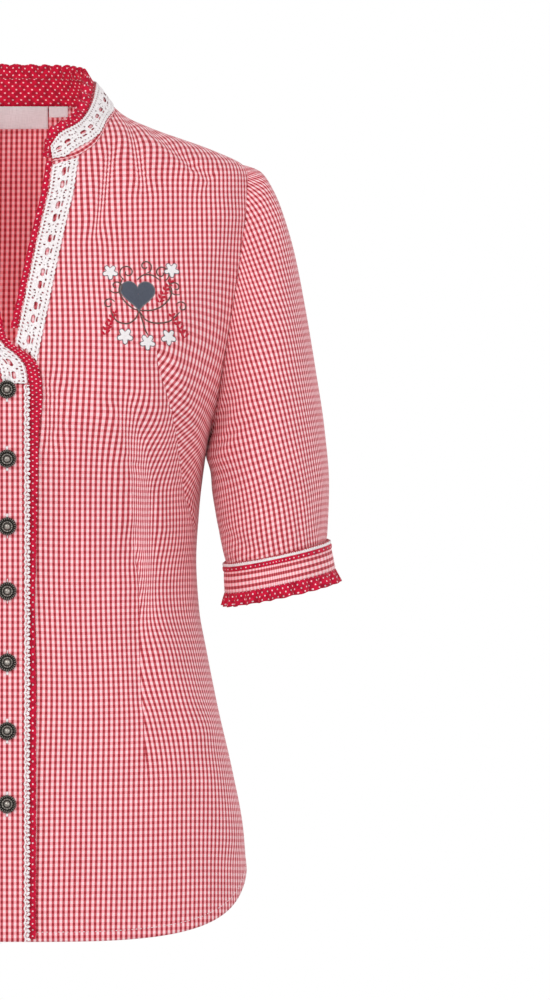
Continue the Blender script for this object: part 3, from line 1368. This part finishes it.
def make_laces():
    """The wide lace on both V edges and round the outside of the collar."""
    heights = np.linspace(-160 * MM, -221 * MM, 80)
    frill_reach = -edge_side(heights) + falling(FRILL_WIDTHS, "width", heights) + 2.2 * MM

    def lace_top(across):
        return -44.5 * MM + 0.3 * across

    def left(along, across, out):
        side = falling(STRAIGHT_EDGE, "side", -184 * MM) + across
        foot = np.interp(side, frill_reach, heights)
        height = lace_top(across) + (foot - lace_top(across)) * along
        side = falling(STRAIGHT_EDGE, "side", height) + across + LACE_INSET
        return on_front(side, height, out)

    def right(along, across, out):
        height = lace_top(across) + (LACE_FOOT - lace_top(across)) * along
        return on_right_front(-edge_side(height) - across - LACE_INSET, height, out)

    def collar(along, across, out):
        tall = np.linalg.norm(collar_point(along, 1.0) - collar_point(along, 0.0), axis=-1)
        reach = np.minimum(LACE_WIDTH, tall - 1.4 * MM)
        up = 1 - (0.4 * MM + across / LACE_WIDTH * reach) / tall
        return collar_point(along, up, -out)

    wide_lace("front_lace_left", "lace_left", 150 * MM, left, "front_left_cloth")
    wide_lace("front_lace_right", "lace_right", 185 * MM, right, "front_right_cloth")
    wide_lace("collar_lace", "lace_collar", 400 * MM, collar, "collar_cloth")


def make_collar():
    """The stand collar in checked cotton and its dotted facing."""
    size, cells = (400 * MM, 26 * MM), (300, 14)

    def stand(u, v, out):
        return collar_point(u, 1 - v, -out)

    def facing(u, v, out):
        return collar_point(u, 1 - v, 1.15 * MM + out + 0.35 * MM * np.sin(math.pi * v))

    cut, on = flat_turned(*size), ["front_left_cloth", "front_right_cloth", "back_cloth"]
    sew("collar_cloth", "collar_stand", "checked_trim", cells, size, stand, cut, "hung", on)
    cut, on = flat_strip(*size), ["collar_cloth"]
    sew("collar_lining", "collar_facing", "dotted", cells, size, facing, cut, "laid", on)


def collar_frill_line():
    """The collar frill's seam: its points, the way out of the collar's edge, and the collar's face."""
    u, up = collar_edge(np.linspace(0, 1, 961))
    middle = collar_point(u, up, WALL + SEAM_GAP / 2 + 0 * u)
    face = unit(collar_point(u, up, 0 * u) - middle)
    outward = unit(np.cross(face, unit(np.gradient(middle, axis=0))))
    return middle, outward, face


def front_frill_line(is_right, foot):
    """The same for the frill along a V edge, with its width."""
    height = edge_route(np.linspace(0, 1, 2000))[1]
    inside = (height <= FRILL_TOP + 4 * MM) & (height >= foot)
    height = np.interp(np.linspace(0, 1, 900), np.linspace(0, 1, inside.sum()), height[inside])
    side = -edge_side(height) if is_right else edge_side(height)
    on = on_right_front if is_right else on_front
    level = -RIGHT_LEVEL + LAP_GAP + WALL / 2 if is_right else -WALL / 2
    ahead = 1 if is_right else -1
    gap = (FRILL_GAP - 0.5 * MM) * np.sqrt(1 + np.gradient(side, height) ** 2)
    middle = on(side + ahead * gap, height, level)
    face = unit(on(side + ahead * gap, height, level + MM) - middle)
    wide = falling(FRILL_WIDTHS, "width", height) + 2.0 * MM * smoothstep(-360 * MM, -480 * MM, height)
    wide = wide - 1.4 * MM * np.exp(-(((height + 212 * MM) / (26 * MM)) ** 2))
    far = on(side + ahead * wide, height, level)
    return (middle, unit(far - middle), face), np.linalg.norm(far - middle, axis=-1)


def cuff_frill_line(is_left):
    """The same for the frill under a cuff."""
    turn = np.linspace(0, 2 * math.pi, 577)
    top, foot = np.full(577, (CUFF_FRILL[0] - 0.6) * MM), np.full(577, CUFF_FRILL[1] * MM)
    level = np.full(577, CUFF_OUT - WALL / 2)
    middle, far = cuff_point(turn, top, level), cuff_point(turn, foot, level + 0.6 * MM)
    face = unit(cuff_point(turn, top, level + MM) - middle)
    line = [mirror_points(p, is_left) for p in (middle, unit(far - middle), face)]
    return line, np.linalg.norm(far - middle, axis=-1)


def frill(name, node, waves, line, width, **options):
    """A gathered dotted frill on a seam: its waves grow from the seam to the free edge and are uneven."""
    middle, outward, face = line
    share = np.linspace(0, 1, len(middle))
    width = np.broadcast_to(np.asarray(width, float), share.shape)
    long = float(np.linalg.norm(np.diff(middle, axis=0), axis=1).sum())
    swell = options.get("swell", 1.0)

    def along(values, at):
        if values.ndim == 1:
            return np.interp(at, share, values)
        return np.stack([np.interp(at, share, values[:, k]) for k in range(3)], axis=-1)

    def place(u, v, out):
        free, turn = 1 - v, 2 * math.pi * np.clip(u, 0, 1)
        phase = waves * turn + 0.9 * np.sin(3 * turn + 1) + 0.6 * np.sin(7 * turn)
        size = 1 + 0.35 * np.sin(5 * turn + 2) * np.sin(11 * turn)
        swing = np.sin(phase) + 0.25 * np.sin(2 * phase + 1.3)
        if options.get("one_sided"):
            swing = 0.8 + 0.8 * swing
        reach = along(width, u) * free * (1 - 0.04 * (1 + np.sin(phase + 1)) * free)
        reach = options.get("gap", 0.0) + reach
        hem = 0.12 * MM * smoothstep(0.78, 0.9, free)
        rise = swell * WAVE * size * swing * np.clip(free, 0, 1) ** 0.8 + WALL / 2 + hem + out
        return along(middle, u) + along(outward, u) * reach[..., None] + along(face, u) * rise[..., None]

    def flat(u, v, centre_u, centre_v):
        return u * long * 1.25, (1 - v) * along(width, u)

    cells = (options.get("cells", waves * 12), 7)
    size = (long, float(width.mean()))
    piece = cloth(name, cells, size, place, flat, MATERIALS["dotted"], closed=options.get("closed"))
    wear(piece, SLOTS["dotted"], node)


def make_frills():
    """All the dotted frills."""
    neck_width = (7.2 + 5.2 * np.sin(np.linspace(0, math.pi, 961)) ** 0.8) * MM
    frill(
        "neck_frill",
        "collar_frill",
        COLLAR_WAVES,
        collar_frill_line(),
        neck_width,
        gap=0.2 * MM,
        swell=1.3,
        on="collar_cloth",
    )
    line, width = front_frill_line(False, LEFT_FRILL_FOOT)
    frill("edge_frill_left", "front_frill_left", 14, line, width, swell=0.7, on="front_left_cloth")
    line, width = front_frill_line(True, hem_height(OVERLAP) + 2 * MM)
    options = {"swell": 0.62, "one_sided": True, "on": "front_right_cloth"}
    frill("edge_frill_right", "front_frill_right", 46, line, width, cells=560, **options)
    for word, is_left in SIDES:
        line, width = cuff_frill_line(is_left)
        node = "cuff_frill_" + word
        options = {"closed": True, "swell": 2.3, "on": "cuff_cloth_" + word}
        frill("sleeve_frill_" + word, node, 24, line, width, **options)


def narrow_open(along, across):
    """The open places of the narrow lace along the placket."""
    step = np.mod(along, 3.2) - 1.6
    gaps = (np.abs(across - 1.6) < 0.45) & (np.abs(step) < 1.1)
    eyes = np.hypot(step, across - 3.1) < 0.42
    edge = 4.4 - 0.9 * (1 - np.abs(np.cos(math.pi * along / 3.2)))
    return gaps | eyes | (across > edge)


def edging_open(along, across):
    """The open places of the fine lace on the cuff's edge."""
    return across > 2.2 - 0.9 * (1 - np.abs(np.cos(math.pi * along / 2.4)))


def make_placket():
    """The button band down the right front's edge, and the narrow lace sewn along it."""

    def strip(first, last, top, level, wave=0.0):
        def place(u, v, out):
            side = (first + (last - first) * u) * MM
            height = top + (hem_height(side) - top) * v
            side = side + wave * np.sin(height / (0.85 * MM) + np.sin(height / (4 * MM)))
            return on_right_front(side, height, level + out)

        return place

    long = PLACKET_TOP - (HEM_SIDE - HEM_DROP)
    edge = OVERLAP / MM
    outer = LAP_GAP + WALL
    band = strip(-edge, edge, PLACKET_TOP, outer)
    size = (2 * OVERLAP, long)
    flat = carried_cut(-OVERLAP, OVERLAP, PLACKET_TOP, -long)
    placket = cloth("button_band", (24, 160), size, band, flat, MATERIALS["checked"], thick=1.2 * MM)
    wear(placket, "checked_cotton", "placket")

    width = TRIM_EDGES[1] - TRIM_EDGES[0]
    trim = strip(TRIM_EDGES[0] + 0.8, TRIM_EDGES[1] + 0.8, PLACKET_TOP, outer + 0.7 * MM, 0.45 * MM)
    size = (width * MM, long)

    def bumpy(u, v, out):
        return trim(u, v, out + 0.2 * MM * np.abs(np.sin(u * math.pi * 2)))

    cells = (10, round(long / MM / 0.55))
    options = {"trim": cut_lace(narrow_open), "thick": 0.5 * MM}
    edging = cloth("band_lace", cells, size, bumpy, flat_strip(*size), MATERIALS["lace"], **options)
    wear(edging, "cotton_lace", "placket_lace")


def carried_cut(first, last, top, fall):
    """The cut of a strip that carries the front's checks on at the same places."""

    def flat(u, v, centre_u, centre_v):
        return first + (last - first) * u, top + fall * v

    return flat


def make_cuffs():
    """The cuffs with their dotted piping and lace edge."""
    circle = np.linspace(0, 2 * math.pi, 200)
    ring = cuff_point(circle, 0 * circle, 0 * circle)
    length = float(np.linalg.norm(np.diff(ring, axis=0), axis=1).sum())
    on_band = CUFF_OUT + WALL + SEAM_GAP
    for word, is_left in SIDES:

        def band(first, last, level, bulge, wave=0.0):
            def place(u, v, out):
                below = (first + (last - first) * v) * MM
                rise = level + bulge * np.sin(math.pi * v) + wave * np.sin(u * 2 * math.pi * 37) * (1 - v)
                return mirror_points(cuff_point(sleeve_turn(u), below, rise + out), is_left)

            return place

        size = (length, (CUFF_BAND[1] - CUFF_BAND[0]) * MM)
        place = band(*CUFF_BAND, CUFF_OUT, 0.5 * MM)
        options = {"closed": True, "thick": 0.9 * MM}
        name = "cuff_cloth_" + word
        cuff = cloth(name, (144, 16), size, place, flat_turned(*size), MATERIALS["checked_trim"], **options)
        wear(cuff, "checked_cotton_trim", "cuff_" + word)

        size = (length, (CUFF_PIPING[1] - CUFF_PIPING[0] + 1) * MM)
        place = band(CUFF_PIPING[0] - 0.6, CUFF_PIPING[1] - 0.8, on_band - 0.5 * MM, 0.6 * MM)
        options = {"closed": True, "thick": 0.5 * MM}
        name = "piping_cloth_" + word
        piping = cloth(name, (144, 8), size, place, flat_strip(*size), MATERIALS["dotted"], **options)
        wear(piping, "dotted_cotton", "cuff_piping_" + word)

        size = (2.7 * MM, length)
        upright = band(CUFF_LACE[1] + 0.4, CUFF_LACE[0], on_band - 0.2 * MM, 0.35 * MM)

        def turned(u, v, out, upright=upright):
            return upright(v, u, out)

        cells = (6, round(length / MM / 0.6 / 24) * 24)
        options = {"closed": True, "thick": 0.5 * MM, "trim": cut_lace(edging_open)}
        name = "edging_" + word
        edging = cloth(name, cells, size, turned, flat_strip(*size), MATERIALS["lace"], **options)
        wear(edging, "cotton_lace", "cuff_lace_" + word)


# The panels' flat sizes, and the share of them that is cloth
PANELS = {
    "front": ((300 * MM, 660 * MM), 0.68),
    "back": ((480 * MM, 650 * MM), 0.76),
    "sleeve": ((330 * MM, 310 * MM), 0.84),
}


def make_panels():
    """The fronts, the back and the sleeves."""
    size, fill = PANELS["front"]
    for word, is_left in SIDES:
        node, on = "front_" + word, ["back_cloth"]
        place, cut = front_place(not is_left), mirrored_cut(front_flat, not is_left)
        sew(node + "_cloth", node, "checked", FRONT_CELLS, size, place, cut, "hung", on, fill)
    size, fill = PANELS["back"]
    on = ["collar_cloth"]
    sew("back_cloth", "back", "checked", BACK_CELLS, size, back_place, back_flat, "hung", on, fill)
    size, fill = PANELS["sleeve"]
    for word, is_left in SIDES:
        name, node, on = "sleeve_cloth_" + word, "sleeve_" + word, ["back_cloth"]
        place, cut = sleeve_place(is_left), mirrored_cut(sleeve_flat, not is_left)
        sew(name, node, "checked", SLEEVE_CELLS, size, place, cut, "hung", on, fill, closed=True)


def mirrored_cut(flat, mirrored):
    """The cut of a piece's mirror image."""

    def turned(u, v, centre_u, centre_v):
        s, t = flat(u, v, centre_u, centre_v)
        return (-s if mirrored else s), t

    return turned


# The button's turned profile in millimetres, and how bright its metal is worn at each ring
Turned = namedtuple("Turned", "radius height worn")
BUTTON_TURNED = named(
    Turned,
    (0, 4.1, 1), (0.9, 4, 0.9), (1.7, 3.6, 0.6), (2.3, 3, 0.3), (2.6, 2.4, 0.05), (2.9, 2.2, 0),
    (3.2, 2.5, 0.45), (3.6, 2.65, 0.55), (4, 2.4, 0.2), (4.3, 2.1, 0), (4.9, 2.1, 0.15),
    (5.4, 2.3, 0.5), (6, 2.4, 0.6), (6.5, 2.2, 0.5), (6.8, 1.7, 0.35), (6.9, 1.1, 0.2), (6.5, 0.6, 0.1),
    (0, 0.5, 0),
)
BUTTON_STEPS = 144
RIM_NOTCHES = 24
RING_BEADS = 12


def make_buttons():
    """Seven domed metal buttons with a notched rim and a ring of petals."""
    seat_level = 2 * (LAP_GAP + WALL) - WALL - LAP_GAP + SEAM_GAP
    for number, height in enumerate(BUTTON_HEIGHTS, start=1):
        bm = bmesh.new()
        worn = bm.verts.layers.float.new("tone")
        profile = []
        for point in BUTTON_TURNED:
            vert = bm.verts.new((1.05 * point.radius * MM, 0, point.height * MM))
            vert[worn] = point.worn
            profile.append(vert)
        edges = [bm.edges.new(pair) for pair in zip(profile, profile[1:])]
        whole = {"angle": 2 * math.pi, "steps": BUTTON_STEPS, "use_merge": True}
        bmesh.ops.spin(bm, geom=profile + edges, cent=(0, 0, 0), axis=(0, 0, 1), **whole)
        bmesh.ops.remove_doubles(bm, verts=bm.verts[:], dist=1e-6)
        bmesh.ops.recalc_face_normals(bm, faces=bm.faces[:])
        for vert in bm.verts:
            radius, turn = math.hypot(vert.co.x, vert.co.y) / MM, math.atan2(vert.co.y, vert.co.x)
            notch = 0.5 + 0.5 * math.cos(RIM_NOTCHES * turn)
            petal = math.cos(RING_BEADS * turn) * math.exp(-(((radius - 3.6) / 0.6) ** 2))
            rim = float(smoothstep(4.2, 5.0, radius))
            if vert.co.z > 0.9 * MM:
                vert.co.z += (0.3 * petal - 0.95 * notch * rim) * MM
                vert[worn] = max(0.0, vert[worn] * (1 - notch * rim) + 0.25 * petal)
            vert.co.xy *= 1 - 0.06 * notch * rim
        mesh = mesh_from(bm, f"metal_button_{number}")
        side, level = np.array(0.0), np.array(height * MM)
        seat = on_right_front(side, level, seat_level)
        normal = Vector(unit(on_right_front(side, level, seat_level + MM) - seat))
        across = Vector((1, 0, 0))
        down = normal.cross(across).normalized()
        turned = Matrix((down.cross(normal), down, normal)).transposed().to_4x4()
        mesh.transform(Matrix.Translation(Vector(seat)) @ turned)
        wear(finish_mesh(mesh.name, mesh, MATERIALS["metal"]), "antique_metal", f"button_{number}")


LABEL_LIFT = 3.0


def make_labels():
    """The bare neck label and the small size label, sewn in at the back of the neck."""
    level = -WALL - 2 * LAP_GAP
    rows = (
        ("neck_tag", "neck_label", LABEL_SIDES, LABEL_HEIGHTS),
        ("size_tag", "size_label", SIZE_LABEL_SIDES, SIZE_LABEL_HEIGHTS),
    )
    for name, node, sides, heights in rows:

        def place(u, v, out, sides=sides, heights=heights):
            side = (sides[0] + (sides[1] - sides[0]) * u) * MM
            height = (LABEL_LIFT + heights[0] + (heights[1] - heights[0]) * v) * MM
            curl = 0.9 * MM * v**2 * (1 + 0.3 * np.sin(u * 5))
            return body(math.pi - theta_at(side, height), height, level - 0.4 * MM - curl - out)

        size = ((sides[1] - sides[0]) * MM, (heights[0] - heights[1]) * MM)
        cut, on = flat_strip(*size), ["collar_cloth"]
        sew(name, node, "label", (30, 10), size, place, cut, "hung", on, thick=0.3 * MM)


STITCH_LENGTH, STITCH_GAP, STITCH_WIDTH = 2.3 * MM, 0.9 * MM, 0.28 * MM


def stitch_row(points, outward, length=STITCH_LENGTH, gap=STITCH_GAP, width=STITCH_WIDTH):
    """A row of small stitches along a line, each a stretched bead that lies on the cloth."""
    run = np.concatenate([[0], np.cumsum(np.linalg.norm(np.diff(points, axis=0), axis=1))])
    bm = bmesh.new()
    for middle in np.arange(length / 2 + gap, run[-1] - length / 2, length + gap):
        ends = [read_line(points, run, middle + step) for step in (-length / 2, length / 2)]
        normal = Vector(read_line(outward, run, middle)).normalized()
        ahead = Vector(ends[1] - ends[0]).normalized()
        beside = normal.cross(ahead).normalized()
        basis = Matrix((ahead * length / 2, beside * width, normal * width * 0.8)).transposed()
        matrix = Matrix.Translation(Vector((ends[0] + ends[1]) / 2)) @ basis.to_4x4()
        bmesh.ops.create_icosphere(bm, subdivisions=1, radius=1, matrix=matrix)
    return mesh_from(bm, "row")


def read_line(values, run, at):
    """A point or a direction at a distance along a line."""
    return np.array([np.interp(at, run, values[:, k]) for k in range(3)])


def line_on(place, u, v, out):
    """A line over a piece and its outward directions."""
    u, v = np.broadcast_arrays(np.asarray(u, float), np.asarray(v, float))
    points = place(u, v, np.full(u.shape, out))
    return points, unit(place(u, v, np.full(u.shape, out + MM)) - points)


def join_rows(name, rows, material, slot):
    """One object from many rows of stitches."""
    bm = bmesh.new()
    for row in rows:
        bm.from_mesh(row)
        bpy.data.meshes.remove(row)
    mesh = mesh_from(bm, name)
    mesh.uv_layers.new(name="cut")
    return wear(finish_mesh(name, mesh, material), slot)


def hem_line(sheet, is_back=False):
    """Where the hem's stitching runs on a panel, as shares u and v."""
    u = np.linspace(0.01, 0.99, 160)
    v = np.full(u.shape, 0.98)
    for _ in range(30):
        theta, height = sheet(2 * u - 1 if is_back else u, v)
        side = section_at(HEM_SIDE)[0] * np.sin(theta)
        v = np.clip(v + (height - hem_height(side) - HEM_TURN) / 0.64, 0.8, 0.999)
    return u, v


def make_stitches():
    """The stitching that shows: round the hem, down the placket, on the cuffs and the labels."""
    rows = []
    for mirrored in (False, True):
        rows.append(stitch_row(*line_on(front_place(mirrored), *hem_line(fine_front), 0.1 * MM)))
    rows.append(stitch_row(*line_on(back_place, *hem_line(fine_back, True), 0.1 * MM)))
    height = np.linspace(-216 * MM, hem_height(0.0) + 2 * MM, 200)
    outer = LAP_GAP + WALL + 0.1 * MM
    for side in (-13.9 * MM, 10.8 * MM):
        points = on_right_front(np.full(200, side), height, outer)
        normals = unit(on_right_front(np.full(200, side), height, outer + MM) - points)
        rows.append(stitch_row(points, normals))
    for is_left in (True, False):
        turn = np.linspace(0, 2 * math.pi, 200)
        below = np.full(200, (CUFF_BAND[1] - 1.6) * MM)
        points = mirror_points(cuff_point(turn, below, np.full(200, CUFF_OUT + 0.35 * MM)), is_left)
        far = mirror_points(cuff_point(turn, below, np.full(200, CUFF_OUT + 1.35 * MM)), is_left)
        rows.append(stitch_row(points, unit(far - points)))
    join_rows("top_stitching", rows, MATERIALS["thread"], "checked_cotton")


BAR_REACH = 10.6 * MM


def make_buttonholes():
    """The worked ends of the buttonholes, which show above and below each button."""
    rows = []
    outer = LAP_GAP + WALL + 0.15 * MM
    for height in BUTTON_HEIGHTS:
        for end in (1, -1):
            for strand in (-1, 0, 1):
                side = np.full(2, strand * 0.55 * MM)
                level = height * MM + end * np.array([6.0 * MM, BAR_REACH - abs(strand) * 0.5 * MM])
                points = on_right_front(side, level, outer)
                normals = unit(on_right_front(side, level, outer + MM) - points)
                rows.append(stitch_row(points, normals, 4.0 * MM, 0.1 * MM, 0.42 * MM))
    join_rows("buttonholes", rows, MATERIALS["thread"], "cotton_lace")


# The sewn flowers on the left front, in millimetres from their middle: a heart amid curling stems,
# leaves and blossoms. A curl winds inwards from its size; a leaf is as long as it is given
SEWN_MIDDLE = (102.0, -152.0)
Curl = namedtuple("Curl", "side height size start turns")
CURLS = named(
    Curl,
    (-20, 13, 6, 200, 1.2), (-11, 24, 6.5, 250, -1.25), (3, 29, 5.5, 270, 1.2),
    (15, 24, 6.5, 290, 1.25), (25, 13, 6, 300, -1.2), (-26, -1, 4.5, 20, 1.1), (29, -2, 4.5, 160, -1.1),
)
STEMS = (
    ((-4, -6), (-7, -12), (-13, -16), (-21, -14), (-25, -6)),
    ((-4, -6), (1, -13), (9, -15), (19, -13), (27, -6)),
    ((-4, -6), (-2, -13), (0, -20), (2, -24)),
    ((-15, 19), (-18, 10), (-15, 2), (-9, -4), (-4, -6)),
    ((20, 18), (22, 9), (16, 0), (7, -5), (-4, -6)),
    ((-4, 18), (1, 22), (8, 22), (14, 18)),
)
Leaf = namedtuple("Leaf", "side height length turn")
LEAVES = tuple(
    Leaf(x + 2.6 * k * step, z + 3.1 * k, 4.6 - 0.25 * k, lean + swing)
    for x, z, step, lean in ((-29.0, -24.0, 0.55, 90), (31.0, -25.0, -0.75, 90), (12.0, 1.0, 0.75, 70))
    for k in range(6)
    for swing in (-48, 48)
)
BLOSSOMS = ((-15.0, -25.0), (1.5, -29.0), (17.5, -25.0), (23.0, 26.5), (-24.0, 24.0))
BLOSSOM_SIZE = 5.8
HEART_MIDDLE, HEART_SIZE = (-4.0, 7.0), 13.0
SEWN_RISE = 0.3 * MM


def smooth_line(points, at):
    """A smooth line through points, at shares of its length from 0 to 1."""
    points = np.array(points, float)
    steps = len(points) - 1
    slope = np.gradient(points, axis=0)
    k = np.clip((at * steps).astype(int), 0, steps - 1)
    t = (at * steps - k)[..., None]
    ends = (2 * t**3 - 3 * t**2 + 1) * points[k] + (3 * t**2 - 2 * t**3) * points[k + 1]
    return ends + (t**3 - 2 * t**2 + t) * slope[k] + (t**3 - t**2) * slope[k + 1]


def sewn_ribbon(path, width, is_leaf=False):
    """A satin-stitched ribbon along a path, rounded across and pointed or blunt at its ends."""

    def place(u, v, out):
        v = np.clip(v, 0.001, 0.999)
        ahead = path(v + 0.001) - path(v - 0.001)
        beside = np.stack([ahead[..., 1], -ahead[..., 0]], axis=-1)
        beside = beside / np.linalg.norm(beside, axis=-1, keepdims=True)
        ends = np.sin(math.pi * v) ** (0.8 if is_leaf else 0.15)
        spot = path(v) + beside * ((u - 0.5) * width * ends)[..., None]
        side, height = ((spot[..., k] + SEWN_MIDDLE[k]) * MM for k in (0, 1))
        return on_front(side, height, out + 0.1 * MM + SEWN_RISE * np.sin(math.pi * u))

    return place


def petalled(middle, size, petals, depth):
    """A closed outline of rounded petals; five of them make a blossom."""

    def path(v):
        turn = 2 * math.pi * v
        reach = size * (1 - depth * np.abs(np.cos(petals * turn / 2)) ** 3)
        return np.stack([middle[0] + reach * np.sin(turn), middle[1] + reach * np.cos(turn)], axis=-1)

    return path


def heart_line(v):
    """A heart's outline."""
    turn = 2 * math.pi * v
    x = 16 * np.sin(turn) ** 3
    y = 13 * np.cos(turn) - 5 * np.cos(2 * turn) - 2 * np.cos(3 * turn) - np.cos(4 * turn)
    return np.stack([HEART_MIDDLE[0] + HEART_SIZE / 16 * x, HEART_MIDDLE[1] + HEART_SIZE / 16 * y], axis=-1)


def sewn_patch(path, middle):
    """A padded satin patch inside an outline."""

    def place(u, v, out):
        spot = np.array(middle) + (path(v) - np.array(middle)) * np.clip(u, 0.02, 1)[..., None]
        side, height = ((spot[..., k] + SEWN_MIDDLE[k]) * MM for k in (0, 1))
        pad = np.sqrt(np.clip(1 - u**2, 0, 1))
        return on_front(side, height, out + 0.1 * MM + 1.2 * SEWN_RISE * pad)

    return place


def sewn_piece(name, places, material):
    """One object from many satin shapes; each is given as its place function, cells and size."""
    bm = bmesh.new()
    for place, cells, size in places:
        piece = cloth("part", cells, size, place, flat_strip(*size), material, thick=0)
        bm.from_mesh(piece.data)
        mesh = piece.data
        bpy.data.objects.remove(piece)
        bpy.data.meshes.remove(mesh)
    mesh = mesh_from(bm, name)
    wear(finish_mesh(name, mesh, material), "checked_cotton")


def make_sewn():
    """The sewn flowers on the left front."""

    def curl_path(curl):
        def path(v):
            turn = math.radians(curl.start) + 2 * math.pi * curl.turns * v
            reach = curl.size * (1 - 0.82 * v)
            middle = (curl.side, curl.height)
            return np.stack([middle[0] + reach * np.cos(turn), middle[1] + reach * np.sin(turn)], axis=-1)

        return path

    def leaf_path(leaf):
        turn = math.radians(leaf.turn)

        def path(v):
            bend = 0.5 * np.sin(math.pi * v)
            x = leaf.side + leaf.length * v * math.cos(turn) - bend * math.sin(turn)
            z = leaf.height + leaf.length * v * math.sin(turn) + bend * math.cos(turn)
            return np.stack([x, z], axis=-1)

        return path

    def stem_path(stem):
        return lambda v: smooth_line(stem, v)

    outlines = [petalled(middle, BLOSSOM_SIZE, 5, 0.45) for middle in BLOSSOMS]
    around_size, leaf_size = (0.7 * MM, 30 * MM), (1.6 * MM, 4.5 * MM)
    stems = [(sewn_ribbon(curl_path(curl), 1.0), (4, 56), around_size) for curl in CURLS]
    stems += [(sewn_ribbon(stem_path(stem), 1.1), (4, 48), around_size) for stem in STEMS]
    leaves = [(sewn_ribbon(leaf_path(leaf), 2.1, True), (4, 12), leaf_size) for leaf in LEAVES]
    petal_size = (5 * MM, 25 * MM)
    petals = [(sewn_patch(line, at), (6, 50), petal_size) for line, at in zip(outlines, BLOSSOMS)]
    edges = [(sewn_ribbon(path, 0.7), (4, 90), around_size) for path in outlines]
    rounds = [petalled(at, 1.3, 3, 0.1) for at in BLOSSOMS]
    edges += [(sewn_ribbon(line, 0.6), (3, 24), around_size) for line in rounds]
    heart = [(sewn_patch(heart_line, HEART_MIDDLE), (12, 96), (9 * MM, 60 * MM))]
    rim = [(sewn_ribbon(heart_line, 1.0), (4, 120), around_size)]
    for name, places, colour in (
        ("sewn_stems", stems, (0.115, 0.065, 0.055)),
        ("sewn_leaves", leaves, (0.50, 0.012, 0.035)),
        ("sewn_petals", petals, (0.86, 0.82, 0.83)),
        ("sewn_edges", edges + rim, (0.16, 0.155, 0.17)),
        ("sewn_heart", heart, (0.075, 0.085, 0.115)),
    ):
        material = cloth_material(name, plain_colour(colour), 0.45 * MM, 0.7, 0.25)
        sewn_piece(name, places, material)


# The photograph's frame: its middle, its height on the object, and a lens long enough to look level
FRAME_MIDDLE = (205.6 * MM, -60 * MM, -301.8 * MM)
FRAME_HEIGHT = 770 * MM
CAMERA_AWAY = 16.0
SENSOR = 36.0
FLOOR_LEVEL = -1.35


def make_camera():
    """The camera, level with the blouse's middle and straight in front of the half that shows."""
    data = bpy.data.cameras.new("camera")
    data.sensor_width = SENSOR
    data.lens = SENSOR * CAMERA_AWAY / FRAME_HEIGHT
    data.clip_end = 200.0
    camera = bpy.data.objects.new("camera", data)
    bpy.context.scene.collection.objects.link(camera)
    x, y, z = FRAME_MIDDLE
    camera.location = (x, y - CAMERA_AWAY, z)
    camera.rotation_euler = (math.pi / 2, 0, 0)
    bpy.context.scene.camera = camera


Lamp = namedtuple("Lamp", "name place aim size power")
LAMPS = (
    Lamp("key", (-1.4, -2.6, 1.1), (0.05, 0.0, -0.3), 1.6, 38.0),
    Lamp("fill", (2.2, -2.4, 0.5), (0.05, 0.0, -0.3), 1.8, 23.0),
    Lamp("back_left", (-1.8, 2.2, 1.0), (0.0, 0.0, -0.3), 1.6, 22.0),
    Lamp("back_right", (1.8, 2.4, 0.7), (0.0, 0.0, -0.3), 1.6, 16.0),
    Lamp("inside", (0.02, 0.0, -0.40), (0.0, 0.06, -0.07), 0.06, 0.44),
)
DOME_LIGHT = 0.62


def make_light():
    """Soft studio lamps in a pale room."""
    for lamp in LAMPS:
        data = bpy.data.lights.new(lamp.name, "AREA")
        data.size = lamp.size
        data.energy = lamp.power
        light = bpy.data.objects.new(lamp.name, data)
        light.location = lamp.place
        away = Vector(lamp.aim) - Vector(lamp.place)
        light.rotation_euler = away.to_track_quat("-Z", "Y").to_euler()
        bpy.context.scene.collection.objects.link(light)
    world = bpy.data.worlds.new("studio")
    world.use_nodes = True
    tree = world.node_tree
    shade = tree.nodes["Background"]
    shade.inputs["Color"].default_value = (1, 1, 1, 1)
    ray = add(tree, "ShaderNodeLightPath").outputs["Is Camera Ray"]
    tree.links.new(ramp(tree, ray, 0.0, 1.0, DOME_LIGHT, 1.0), shade.inputs["Strength"])
    bpy.context.scene.world = world
    bpy.context.scene.view_settings.view_transform = "Standard"


def make_floor():
    """A plain pale floor, well below the blouse."""
    bm = bmesh.new()
    bmesh.ops.create_grid(bm, x_segments=1, y_segments=1, size=6.0)
    bmesh.ops.translate(bm, vec=(0, 0, FLOOR_LEVEL), verts=bm.verts[:])
    mesh = mesh_from(bm, "floor")
    material = bpy.data.materials.new("floor")
    material.use_nodes = True
    tree = material.node_tree
    place = add(tree, "ShaderNodeTexCoord").outputs["Object"]
    noise = add(tree, "ShaderNodeTexNoise", {"Vector": place, "Scale": 3.0}).outputs["Fac"]
    shader = tree.nodes["Principled BSDF"]
    colour = blend(tree, noise, (0.78, 0.78, 0.78), (0.82, 0.82, 0.82))
    tree.links.new(colour, shader.inputs["Base Color"])
    shader.inputs["Roughness"].default_value = 0.9
    finish_mesh("floor", mesh, material)


make_panels()
make_collar()
make_laces()
make_frills()
make_placket()
make_cuffs()
make_buttons()
make_labels()
make_stitches()
make_buttonholes()
make_sewn()
make_floor()
make_light()
make_camera()
